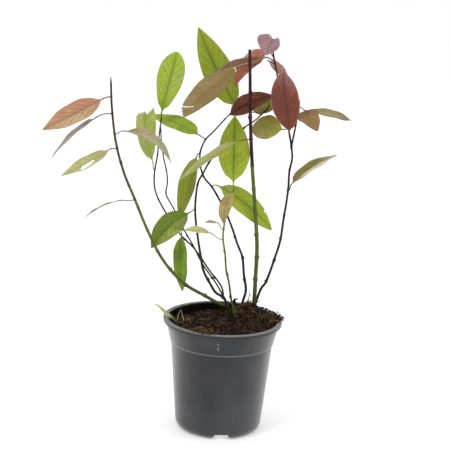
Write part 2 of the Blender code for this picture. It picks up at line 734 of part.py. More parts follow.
def make_soil(stems):
    floor = CHANNEL_HEIGHT + POT_WALL
    turns = [2 * math.pi * k / SOIL_SIDES for k in range(SOIL_SIDES)]
    rings = []
    for share in SOIL_RINGS:
        ring = []
        for turn in turns:
            radius, edge_z = soil_edge(turn)
            x, y = share * radius * math.cos(turn), share * radius * math.sin(turn)
            ring.append((x, y, edge_z if share == 1 else soil_height(x, y)))
        rings.append(ring)
    below = (
        (inner_radius(COLLAR_FOOT_Z - STEP_HEIGHT), COLLAR_FOOT_Z),
        (inner_radius(floor + INNER_CORNER), floor + INNER_CORNER + CLEARANCE),
        (inner_radius(floor) - INNER_CORNER, floor + CLEARANCE),
    )
    for radius, z in below:
        radius -= 2 * CLEARANCE
        rings.append([(radius * math.cos(a), radius * math.sin(a), z) for a in turns])
    points, faces = loft(rings)
    top, bottom = (0, 0, soil_height(0, 0)), (0, 0, floor + CLEARANCE)
    points += [top, bottom]
    top_index, bottom_index = len(points) - 2, len(points) - 1
    last = top_index - SOIL_SIDES
    faces = faces[2:]
    for k in range(SOIL_SIDES):
        n = (k + 1) % SOIL_SIDES
        faces += [(k, n, top_index), (last + k, last + n, bottom_index)]
    soil = new_object("soil", points, faces, material("soil", SOIL_COLOUR, 0.9))
    holes = [stem_hole(stem) for stem in stems if stem.shoot.root] + [grass_hole()]
    boolean(soil, collection_of("stem_holes", holes), "DIFFERENCE")
    return soil


def straight_hole(name, root, entry, radius):
    """A cutter for a plain hole round something that enters the soil at entry. It widens
    above the entry, so that it clears the bend there."""
    root, entry = Vector(root), Vector(entry)
    along = (entry - root).normalized()
    side = along.orthogonal().normalized()
    other = along.cross(side)
    wide = (radius + CLEARANCE) / math.cos(math.pi / HOLE_SIDES)
    ends = [(root - along, wide)]
    ends += [(entry + along * above, wide + flare) for above, flare in HOLE_FLARE]
    rings = []
    turns = [2 * math.pi * k / HOLE_SIDES for k in range(HOLE_SIDES)]
    for centre, reach in ends:
        rings.append([centre + (side * math.cos(a) + other * math.sin(a)) * reach for a in turns])
    return as_cutter(new_object(name, *loft(rings), material("soil", SOIL_COLOUR, 0.9)))


def stem_hole(stem):
    shoot = stem.shoot
    return straight_hole(shoot.name + "_hole", shoot.root, shoot.points[0], shoot.base_radius)


def grass_hole():
    return straight_hole("grass_hole", GRASS_ROOT, GRASS_PATH[0], GRASS_WIDTH / 2)


def make_grass():
    """The blade of grass: a flat blade, slightly keeled, that narrows to its tip."""
    path = Path(GRASS_PATH)
    rings = []
    for share in GRASS_STATIONS:
        centre, tangent, _, _ = path.frame(share * path.length)
        across = tangent.cross(Vector(GRASS_FACE)).normalized()
        up = across.cross(tangent)
        half = GRASS_WIDTH / 2 * (1 - share**2) + GRASS_TIP
        rings.append([centre + across * half * x + up * h for x, h in GRASS_SECTION])
    entry = Vector(GRASS_PATH[0])
    rings.insert(0, [Vector(GRASS_ROOT) + (p - entry) / 2 for p in rings[0]])
    return new_object("grass_blade", *loft(rings), material("grass_blade", GRASS_COLOUR, 0.5))


def main():
    clear_scene()
    stems = []
    for main_shoot, twigs in STEM_NODES:
        grown = [Stem(shoot) for shoot in (main_shoot, *twigs)]
        tubes = [make_stem_tube(stem) for stem in grown]
        if twigs:
            grow_together(tubes[0], tubes[1:])
        stems += grown
    for stem in stems:
        for leaf in stem.shoot.leaves:
            make_leaf(stem, leaf)
    make_pot()
    make_soil(stems)
    make_grass()


main()
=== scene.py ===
"""The looks of a potted Virginia sweetspire: its leaves, bark, soil and pot.

Sizes and places are in millimetres, as in the part's own source, and meshes are made in metres.
Each piece keeps the form of the solid that it stands for and adds what is too fine for it.
"""

import math
import random
from collections import namedtuple
from functools import partialmethod

import bmesh
import bpy
import numpy as np
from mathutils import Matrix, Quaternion, Vector, noise


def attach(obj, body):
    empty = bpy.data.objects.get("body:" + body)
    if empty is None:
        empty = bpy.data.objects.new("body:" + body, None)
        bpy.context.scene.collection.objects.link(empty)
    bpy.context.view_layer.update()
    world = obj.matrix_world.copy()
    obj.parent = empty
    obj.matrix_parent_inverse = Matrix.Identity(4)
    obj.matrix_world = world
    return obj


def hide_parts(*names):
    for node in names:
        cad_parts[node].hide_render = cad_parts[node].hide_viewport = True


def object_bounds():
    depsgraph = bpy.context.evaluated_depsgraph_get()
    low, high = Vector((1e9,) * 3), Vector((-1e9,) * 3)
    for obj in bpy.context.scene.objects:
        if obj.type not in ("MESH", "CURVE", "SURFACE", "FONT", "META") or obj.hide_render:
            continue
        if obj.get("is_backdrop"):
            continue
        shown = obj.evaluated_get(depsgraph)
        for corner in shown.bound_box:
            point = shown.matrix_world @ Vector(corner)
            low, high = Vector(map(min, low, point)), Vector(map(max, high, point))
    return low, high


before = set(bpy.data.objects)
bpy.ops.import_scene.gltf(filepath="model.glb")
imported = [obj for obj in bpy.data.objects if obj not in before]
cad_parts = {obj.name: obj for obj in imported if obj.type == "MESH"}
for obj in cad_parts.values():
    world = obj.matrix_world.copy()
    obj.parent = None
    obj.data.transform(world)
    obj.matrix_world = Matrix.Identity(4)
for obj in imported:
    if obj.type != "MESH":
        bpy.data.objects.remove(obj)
CAD_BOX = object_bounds()

MM = 0.001
BODY = "root"

# Camera: where it stands in metres, which way it looks, and how it is rolled
CAMERA_AT = (0.0, -1.5467, 0.6095)
CAMERA_FORWARD = (-0.00169, 0.97099, -0.23912)
CAMERA_ROLL = math.radians(-2.88)
CAMERA_LENS = 118.4
CAMERA_SENSOR = 36.0

# Lamps: name, where each stands and what it is turned to in metres, its size and its power
PLANT_MIDDLE = (0, 0, 0.22)
LAMPS = (
    ("key", (-0.9, -1.1, 1.5), PLANT_MIDDLE, 0.6, 10.0),
    ("side", (1.3, -0.2, 0.9), PLANT_MIDDLE, 0.6, 3.0),
    ("under_foot", (0.0034, -0.032, 0.0046), (0.0034, -0.032, 0), 0.026, 0.001),
)
FLOOR_HALF = 3000.0
FLOOR_LEVELS = (-0.2, -20.2)

# Pot, as in the part, but with foot notches that are a little larger
POT_HEIGHT = 124.0
RIM_RADIUS = 65.0
LIP_FOOT_Z = 120.0
COLLAR_TOP_RADIUS = 61.7
COLLAR_FOOT_RADIUS = 56.7
COLLAR_FOOT_Z = 98.5
STEP_HEIGHT = 0.5
BODY_TOP_RADIUS = 55.7
BODY_FOOT_RADIUS = 47.6
CORNER_HEIGHT = 10.0
FOOT_RADIUS = 40.0
FOOT_RING = 2.6
POT_WALL = 1.7
DISC_RADIUS = 22.0
DISC_DRAFT = 0.8
DISC_ROUND = 1.5
CHANNEL_HEIGHT = 5.0
INNER_CORNER = 4.0
DRAIN_RADIUS = 4.5
DRAIN_SIDES = 32
NOTCH_WIDTH = 21.5
NOTCH_TOP = 13.5
NOTCH_HEIGHT = 6.0
NOTCH_COUNT = 4
NOTCH_TURN = math.radians(-84)
POT_SIDES = 160
POT_ROUND = 0.55

# Soil, as in the part, with its crumbs, and the film of damp peat on the wall above it, which is also painted
# shade on the inner wall
SOIL_Z = 118.3
SOIL_SLOPE = 4.0
SOIL_RISE = 2.2
MOUND_AT = (29.0, 34.0)
MOUND_HEIGHT = 13.0
MOUND_SPREAD = 11.5
EDGE_START = 0.75
EDGE_END = 0.97
EDGE_DROP = 0.65
SOIL_GAP = 0.3
SOIL_SIDES = 200
SOIL_RINGS = 90
CRUMB_SCALE = 5.0
CLOD_SCALE = 7.0
PIT_SCALE = 1.5
FILM_GAP = 1.2
FILM_RAGGED = 0.5
FILM_DEPTHS = (0.05, 0.05, 0.3, 0.45)
SOIL_TONE = 0.3
FILM_TONE = 0.1

# Stems. The dark ones have this share of their solids' thickness: DARK_STEM_SHARE
STEM_SIDES = 18
STEM_STEP = 1.6
BUD_GAP = 27.0
BUD_HEIGHT = 0.9
BUD_LENGTH = 2.2
BUD_STEEPNESS = 1.6
BUD_NARROWNESS = 8
NODE_SWELLING = 0.18
BUD_TURN = 2 * math.pi * 3 / 7
SCAR_LENGTH = 0.5
SCAR_RISE = 0.05
BARK_ROUGHNESS = 0.06
DARK_STEM_SHARE = 0.94

# Leaves
BLADE = 0.36
MIDRIB = 0.5
MIDRIB_HALF = 0.75
STALK_RADIUS = 0.75
STALK_BEND = 0.38
STALK_SINK = 1.3
STALK_ROWS = 14
BLADE_ROWS = 112
COLUMNS = 31
BLADE_BLEND = 0.14
WIDEST = 0.45
BASE_FULLNESS = 0.75
TIP_DRAWN = 0.88
WAVE = 0.05
WAVES = 2.3
TEETH = 30
TOOTH = 0.32
TOOTH_EDGE = 10
TEETH_START = 0.04
TEETH_END = 0.97
SIDE_VEINS = 8
VEIN_ARCH = 2.2
VEIN_CURVE = 0.8
QUILT = 0.26
QUILT_EDGE = 3
PUCKER = 0.1
PUCKER_ACROSS = 0.9
PUCKER_ALONG = 0.35
PUCKER_SHIFT = 1.3
GROOVE = 0.35
RIB_TAPER = 0.75
STALK_OPENING = math.radians(78)
STALK_WAIST = 0.25
# The leaf with two lobes at its base: how far back they reach, and how full, how lopsided
# and how abrupt its base is
LOBES = {"heart": 8.0}
LOBED_FULLNESS = 0.16
LOBE_SKEW = 0.24
LOBED_BLEND = 0.03

# Growing tips and the shoot that was cut off
TIP_LENGTH = 8.0
TIP_NARROWING = 0.85
TIP_POINTED = 1.6
CUT_OFF = ("centre_shoot",)

# What lies on the soil. A place is (x, y, spread), and each list of places says how many bits
# lie about each. A seed sets the random draws of one piece. Crumbs sink by a share of their size.
MOUND_PLACE = (30, 35, 9)
STEM_FOOT = (20, 30, 6)
LEFT_HEAP = (-24, -40, 9)
LEFT_SOIL = (-16, 10, 16)
RIGHT_HEAP = (51, 12, 6)
SEEDS = {"crumbs": 11, "chips": 23, "flakes": 71, "roots": 37, "stalks": 83, "moss": 53}
CRUMB_COUNT = 900
CLOD_COUNT = 70
ROOT_COUNT = 520
CRUMB_ROUGHNESS = 0.5
CRUMB_LUMPS = 1.6
CRUMB_SINK = 0.35
CLOD_SINK = 0.28
CRUMB_HEAPS = ((MOUND_PLACE, 190), (LEFT_HEAP, 60), (RIGHT_HEAP, 120))
CHIP_PLACES = ((None, 130), (LEFT_SOIL, 90))
FLAKE_PLACES = ((LEFT_HEAP, 44), (LEFT_SOIL, 10))
ROOT_HEAPS = ((MOUND_PLACE, 160), (RIGHT_HEAP, 110), (LEFT_HEAP, 80), (STEM_FOOT, 120))
# Moss: a place, how many shoots, their height and their tone, and moss that hangs from one
# point to another
MOSS_PLACES = (
    ((29, 36, 8), 46, 3.8, 0.35),
    ((52, 14, 5), 70, 4.0, 0.45),
    ((40, -10, 12), 14, 2.8, 0.3),
    ((-19, -30, 5), 26, 3.2, 0.8),
    ((-21, -50, 4), 70, 3.4, 1.15),
    ((-45, 12, 5), 40, 4.6, 1.0),
    ((-46, -10, 6), 34, 3.4, 0.7),
    ((0, 0, 24), 12, 2.4, 0.4),
)
HANGING_MOSS = (
    ((57, 12, 124.6), (65.4, 8, 126)),
    ((60, 4, 124.4), (66, 1, 123.6)),
    ((58, 8, 124.6), (65.6, 5, 124.6)),
    ((55, 20, 125.2), (62.5, 17, 126.6)),
    ((-19, -57, 124.4), (-22, -62.5, 122.8)),
    ((-13, -59, 124.4), (-14.5, -64, 123)),
)
# Crumbs with places of their own: (x, y, z, size)
RIM_CRUMBS = (
    (-20, -60, 124.5, 1.5), (-16, -60.5, 124.5, 1.3), (-25, -57.5, 124.4, 1.2),
    (-12, -61.5, 124.4, 1.0), (-30, -55.5, 124.3, 0.9), (-22, -57, 124.6, 1.6),
    (61.5, 8, 124.7, 1.8), (63, 3, 124.4, 1.3), (59.5, 15, 124.9, 2.1), (57, 22, 125.0, 2.0),
    (52, 32, 124.9, 1.7), (61, -8, 124.4, 1.1), (62.5, 12, 124.6, 1.6), (60, 11, 125.6, 1.8),
    (64.2, 6, 124.8, 1.3), (58, 18, 125.8, 1.9), (60.5, 5, 125.2, 1.7), (55, 27, 125.6, 1.8),
    (62, -2, 124.5, 1.2), (60, 0, 124.6, 1.5), (-8, -61, 124.2, 0.8), (-27, -54.5, 124.5, 1.2),
    (64.6, 9.5, 125.4, 1.4), (65.4, 3.5, 124.7, 1.2), (66.0, 7.4, 125.8, 1.1), (62.8, 14.6, 126.2, 1.4),
    (61.4, 10, 126.8, 1.5), (66.2, 0.8, 124.3, 0.9), (48, 38, 125.2, 1.6), (44, 42, 125.4, 1.5),
)
PEAT_BLOB = (
    (12.5, 44, 120, 2.6), (12, 45, 123.4, 2.5), (11.8, 45.4, 126.6, 2.4), (11.6, 45.8, 129.3, 2.2),
    (12.4, 46.2, 131.6, 1.9), (14.5, 46.4, 132.4, 1.4),
)
# Wood and stalks, each along its points
CROWN_STUB = ((12.4, 20, 112), (9.8, 19.6, 121), (6.8, 19.4, 130), (5.0, 19.8, 135.5), (4.6, 20, 137.5))
DRY_STALKS = (
    ((24.8, 40, 122), (25.8, 40, 130), (28.1, 40, 137.2), (30.4, 41, 142)),
    ((26.8, 40, 133), (28.4, 40.4, 139), (27.2, 40.6, 145)),
    ((32, 40, 123), (36.4, 38.5, 130.5), (39.5, 37, 134.5), (42.8, 36, 136.4)),
)
PALE_STALKS = (
    ((-50, 1, 117.5), (-48.6, 5, 123.5), (-46.9, 9, 128.4)),
    ((-42.6, 2, 118), (-44.6, 6, 123.5), (-46.5, 9, 128)),
    ((-39.4, 1, 117.5), (-38, -1, 122), (-34.4, -7, 118)),
    ((-30, -20, 117), (-24, -24, 120.4), (-17, -22, 118)),
    ((50, 0, 122), (57, -4, 125), (62, -2, 124.6)),
)
FIBRE_STEPS = 8
FIBRE_TAPER = 0.6
TWIG_STEPS = 12
MOSS_TURN = 2.4
MOSS_STEM = (0.16, 0.15, 0.14, 0.12, 0.1, 0.05)
HANGING_COUNT = 9

# Colours as screen values from 0 to 255: the soil and what lies on it
PEAT = (13, 10, 8)
PEAT_BROWN = (42, 27, 22)
PEAT_RED = (124, 84, 60)
PEAT_OCHRE = (166, 130, 86)
CHIP_DARK = (30, 22, 22)
CHIP_MAUVE = (88, 64, 64)
CHIP_GREY = (150, 128, 122)
CHIP_RED = (100, 48, 42)
CHIP_PINK = (164, 106, 96)
MOSS_DARK = (56, 50, 22)
MOSS_OLIVE = (106, 98, 44)
MOSS_PALE = (170, 164, 112)

# The pot's plastic, its painted shade and highlights, and its scuffed places: (x, z), how far each reaches,
# and how bright
SCUFFS = (((-3.6, 113.6), (1.7, 3.2), 0.95), ((-3.3, 107.4), (1.9, 2.6), 0.4))
PLASTIC = (27, 28, 31)
PLASTIC_WORN = (56, 57, 60)
PLASTIC_SHADE = (18, 19, 21)
SCUFF_AND_HIGHLIGHT = (176, 178, 180)
DUST = (150, 144, 132)


Leaf = namedtuple(
    "Leaf",
    "name near base tip width face arch fold bow widest drawn terminal",
    defaults=(0.0, WIDEST, TIP_DRAWN, False),
)
Shoot = namedtuple("Shoot", "name root points base_radius tip_radius finish leaves")

LEFT_SHOOT = Shoot(
    "left_shoot",
    None,
    [(1.4, 18.4, 133.3), (-0.6, 17.4, 133.1), (-7, 15, 136.5), (-16, 11, 142.5), (-44, 0, 161),
     (-67, -12, 189), (-84, -20, 222), (-99, -26, 258), (-111, -31, 287), (-120, -35, 319),
     (-125, -39, 356), (-127, -42, 390)],
    1.9, 1.0, "left_stem",
    [
        Leaf("upper", (-126, -40, 367), (-134, -43, 366), (-194, -58, 333), 29, (-2, -6, 7), 2, 0.12,
             bow=-2.5),
        Leaf("edgewise", (-125, -38, 351), (-142, -32, 344), (-189, -18, 296), 18.5, (-7, -2, 7), 2.5, 0.2),
        Leaf("bitten", (-120, -35, 312), (-126, -40, 313), (-173, -62, 287), 18, (-2, -5, 8), 0, 0.15,
             bow=-1.5),
        Leaf("lowest", (-100, -26, 258), (-114, -33, 257.5), (-147.5, -55, 243), 9.5, (-8, 1.2, 18), 3, 0.06),
        Leaf("inner", (-122, -36, 328), (-111, -40, 333), (-62, -30, 299), 25, (6, -2, 8), 8, 0.3),
    ],
)

CENTRE_SHOOT = Shoot(
    "centre_shoot",
    (33, 36, 112),
    [(34, 35, 133), (34, 34, 159), (33.5, 27, 200), (28.5, 20, 248), (24, 14, 286), (19, 7, 338),
     (16.5, 1, 379), (14, -5, 419)],
    2.3, 1.6, "centre_stem",
    [
        Leaf("pale", (19, 8, 321), (8, 2, 321), (-54, -30, 281), 26, (-6, 4, 6), 2, 0.12),
        Leaf("torn", (15, -3, 403), (1, -8, 399), (-58, -24, 344), 27, (-3, -8, 5), 3, 0.1,
             bow=1),
    ],
)

RIGHT_SHOOT = Shoot(
    "right_shoot",
    (31, 43, 112),
    [(36, 39, 132), (41, 43, 147), (46, 42, 155), (54, 38, 184), (59, 35, 206), (61, 32, 230),
     (63, 29, 251), (64, 27, 268), (64, 25, 286), (66, 22, 301), (64, 20, 316), (62, 22, 325),
     (57, 26, 347), (50, 29, 368), (45, 30, 389), (41, 30, 405), (39, 30, 414)],
    1.6, 0.9, "dark_stem",
    [
        Leaf("low_grey", (64, 27, 265), (67, 24, 272), (114, 8, 310), 24, (-4, 6, 7), 3, 0.15, bow=2),
        Leaf("maroon", (63, 22, 325), (61, 16, 330), (50, 2, 396), 31, (-3, -9, -1), 3, 0.12,
             bow=1, widest=0.56, drawn=0.55),
        Leaf("tan", (60, 24, 333), (55, 28, 331), (20, 52, 326), 28, (-5, -7, 5), 4, 0.1),
        Leaf("hidden_olive", (53, 27, 354), (48, 35, 355), (21, 56, 348), 24, (-5, -6, 6), 3, 0.15),
        Leaf("long_brown", (41, 30, 404), (31, 25, 408), (-22, 8, 392), 18, (-2, -3, 9), 0.5, 0.25),
        Leaf("coral", (40, 30, 409), (34, 34, 414), (0, 30, 373), 17, (-3, -9, 4), 3, 0.12,
             bow=6, widest=0.3),
        Leaf("pale_pink", (42, 30, 400), (35, 37, 403), (58, 43, 384), 14, (6, -6, 5), 1, 0.12),
        Leaf("heart", (39, 30, 414), (38.0, 24, 427.4), (31.2, 5, 413), 24.5, (0.8, -5, 4.2), 2, 0.08,
             widest=0.3, drawn=0.75, terminal=True),
    ],
)

RIGHT_ARM = Shoot(
    "right_arm",
    None,
    [(64, 20, 312), (65, 20, 319), (66, 21, 325), (68, 24, 338), (69, 25, 346), (70, 26, 355),
     (71, 27, 366)],
    1.2, 0.7, "dark_stem",
    [
        Leaf("rusty", (68, 24, 338), (70, 23, 350), (90.5, 7, 334.5), 24, (1, -6, 7), 8, 0.1, widest=0.4,
             drawn=0.75),
        Leaf("far_olive", (70, 26, 356), (79, 31, 352), (128, 42, 342), 18, (2, -3, 9), 2, 0.15,
             widest=0.64),
    ],
)

OLD_CROWN = Shoot(
    "old_crown",
    (15.4, 21, 103),
    [(10, 20, 117), (5, 19, 130), (0, 20, 141), (-9, 21, 146), (-16, 22, 156), (-24, 24, 170),
     (-28, 26, 187), (-32, 28, 207), (-36, 30, 233), (-36, 29, 253), (-34, 28, 269),
     (-30, 28, 277), (-22, 28, 293), (-10, 29, 308), (1, 30, 319), (12, 30, 330), (23, 31, 338),
     (33, 32, 348), (38, 33, 354), (37, 34, 362)],
    1.7, 0.7, "dark_stem",
    [
        Leaf("dark_green", (-36, 30, 236), (-42, 23, 235), (-81, -2, 199), 28, (-2, -8, 6), 3, 0.12,
             bow=3),
        Leaf("great_green", (30, 32, 344), (4, 35, 350), (-42, 47, 434), 34, (2, -9, 3), 2, 0.12,
             bow=-2.5, widest=0.42),
    ],
)

CROWN_BACK_TWIG = Shoot(
    "crown_back_twig",
    None,
    [(0, 20, 139), (-3, 24, 152), (-17, 31, 168), (-36, 39, 191), (-51, 43, 204), (-69, 46, 228),
     (-81, 45, 251), (-83, 42, 271), (-80, 37, 295), (-79, 32, 315), (-77, 27, 336)],
    1.1, 0.8, "dark_stem",
    [
        Leaf("torn_pale", (-82, 42, 278), (-85, 36, 287), (-93, 21, 362), 23.5, (5, -8, -1), 4, 0.12,
             bow=-7, widest=0.6, drawn=0.45),
        Leaf("tall_lime", (-77, 27, 336), (-77, 27, 343), (-63, 34, 408), 29, (-2, -10, 2), 2, 0.12,
             bow=0.5, widest=0.66, drawn=0.6, terminal=True),
    ],
)

CROWN_FRONT_TWIG = Shoot(
    "crown_front_twig",
    None,
    [(1, 19, 140), (-9, 22, 156), (-25, 27, 176), (-37, 32, 196), (-50, 36, 216), (-60, 37, 235),
     (-69, 37, 251), (-68, 35, 264), (-69, 33, 276), (-73, 30, 293), (-76, 25, 313),
     (-77, 21, 331)],
    1.0, 0.7, "dark_stem",
    [
        Leaf("hanging", (-48, 36, 213), (-50, 31, 208), (-46, 24, 145), 23, (-7, -7, 0), 1, 0.15,
             drawn=0.75),
    ],
)

ARCHED_SHOOT = Shoot(
    "arched_shoot",
    (17, 35, 112),
    [(21, 33, 133), (24, 33, 147), (21, 31, 165), (18, 27, 187), (12, 23, 202), (6, 19, 219),
     (-1, 15, 236), (-8, 12, 250), (-19, 9, 268), (-27, 8, 277), (-31, 7, 286), (-33, 7, 297),
     (-33, 8, 306), (-28, 11, 319), (-21, 15, 326), (-8, 20, 341)],
    1.6, 0.8, "dark_stem",
    [
        Leaf("spread_green", (-20, 9, 268), (-13, 12, 269), (49, 42, 215), 26, (6, -8, 3), 3, 0.1,
             bow=-3, drawn=0.75),
        Leaf("olive", (-33, 8, 304), (-36, 8, 302), (-53, 31, 225), 20, (-4, -8, 1), 0, 0.15, bow=2),
        Leaf("vivid_green", (-28, 11, 319), (-35, 17, 322), (-89, 52, 335), 25, (0, -4, 9), 3, 0.12,
             widest=0.38, drawn=0.7),
        Leaf("dusky", (-8, 19, 341), (-5, 21, 344), (43, 22, 368), 25, (-3, -7, 7), 5, 0.15,
             terminal=True),
    ],
)

YOUNG_SHOOT = Shoot(
    "young_shoot",
    (17, 16.5, 103),
    [(14, 16, 118), (11, 15, 131), (8, 14, 142), (5, 12, 160), (1, 10, 176), (-1, 8, 194),
     (-4, 6, 211), (-4, 6, 222), (-2, 6, 238), (2, 5, 254), (5, 4, 268)],
    1.2, 0.9, "young_stem",
    [
        Leaf("upright", (5, 4, 268), (4, 6, 273), (2, 28, 343), 34, (2, -9, 3), 3, 0.14,
             bow=-1, terminal=True),
        Leaf("drooping_pink", (4, 4, 263), (5, 0, 265), (-4, -6, 231), 16, (-6, -8, 3), 2, 0.15,
             bow=3),
        Leaf("tiny", (-4, 6, 222), (-11, 3, 230), (-24, -4, 231), 7, (2, -2, 10), 1, 0.1),
        Leaf("small_pale", (-4, 6, 211), (-18, 0, 219), (-46, -14, 224), 12, (3, -3, 9), 2, 0.15),
    ],
)

# Each node of stems: the shoot that it is named after, and the twigs that grew out of it
STEM_NODES = (
    (OLD_CROWN, (CROWN_BACK_TWIG, CROWN_FRONT_TWIG)),
    (LEFT_SHOOT, ()),
    (CENTRE_SHOOT, ()),
    (RIGHT_SHOOT, (RIGHT_ARM,)),
    (ARCHED_SHOOT, ()),
    (YOUNG_SHOOT, ()),
)

GRASS_PATH = [(-52, -5, 121), (-57, -9, 125.5), (-61, -11, 129), (-68, -15, 137), (-74, -19, 142)]
GRASS_ROOT = (-46, -1, 108)
GRASS_WIDTH = 4.5
GRASS_FACE = (-1, -3, 2)
GRASS_TIP = 0.3
GRASS_ROWS = 40
GRASS_COLUMNS = 15
GRASS_KEEL = 0.35
GRASS_THICKNESS = 0.36

# Colours of the leaves and stems
CREAM = (224, 216, 194)
SAND = (188, 163, 122)
STRAW = (174, 160, 98)
SALMON = (179, 129, 102)
TAN = (182, 144, 104)
BEIGE = (178, 170, 132)
GREY_PINK = (212, 194, 188)
TAUPE = (152, 140, 126)
SILVER_GREEN = (176, 180, 164)
LICHEN = (164, 166, 134)
GREY_GREEN = (160, 164, 108)
SAGE = (148, 156, 76)
PALE_LIME = (179, 183, 125)
GRASS_PALE = (212, 214, 150)
PALE_GREEN = (162, 174, 96)
LIME = (158, 178, 58)
YELLOW_GREEN = (143, 156, 44)
FRESH_GREEN = (134, 152, 42)
VIVID_GREEN = (112, 138, 26)
DEEP_GREEN = (108, 128, 46)
DARK_GREEN = (84, 106, 34)
MOSS_GREEN = (116, 128, 38)
OLIVE = (128, 122, 56)
DARK_OLIVE = (98, 90, 40)
KHAKI = (147, 134, 90)
BROWN_OLIVE = (142, 125, 82)
BRONZE = (130, 113, 64)
UMBER = (120, 86, 64)
RUST = (138, 106, 64)
BROWN = (142, 104, 80)
CHESTNUT = (116, 62, 46)
DARK_BROWN = (90, 50, 32)
MAROON = (107, 58, 48)
PLUM = (134, 92, 88)
CORAL = (150, 86, 72)
PINK = (146, 113, 98)
ROSE = (168, 138, 126)
MAUVE = (150, 118, 123)
LILAC = (192, 166, 174)
BARK = (40, 38, 26)
BARK_GREY = (112, 106, 92)
BARK_BLACK = (30, 16, 16)
STEM_GREEN = (84, 96, 42)
STEM_LIGHT = (138, 148, 92)
STEM_MAROON = (44, 19, 21)

# Each kind of bark: its colour low and high on the stem, that of its streaks low down, and the
# shares of the stem's length between which it changes
STEM_KINDS = {
    "left_stem": (STEM_GREEN, STEM_MAROON, STEM_LIGHT, (0.38, 1.02)),
    "centre_stem": (STEM_GREEN, STEM_MAROON, STEM_LIGHT, (0.53, 0.62)),
    "young_stem": (STEM_GREEN, DEEP_GREEN, STEM_LIGHT, (0.2, 0.8)),
    "dark_stem": (BARK, BARK_BLACK, BARK_GREY, (0.2, 0.7)),
}

# The lamps brighten what faces them, so a surface is this much darker than it looks
LIT = 0.80

# A leaf's colours: the blade, its half to the left and right of the midrib, its tip, base,
# margin, midrib, side veins, patches, small specks, its lower side and its stalk. None keeps the
# blade's. Its light makes it lighter or darker, by how it hangs to the lamps.
Look = namedtuple(
    "Look",
    "slot main left right tip base margin rib veins patch specks under stalk light",
    defaults=(None,) * 10 + (STEM_MAROON, 1.0),
)

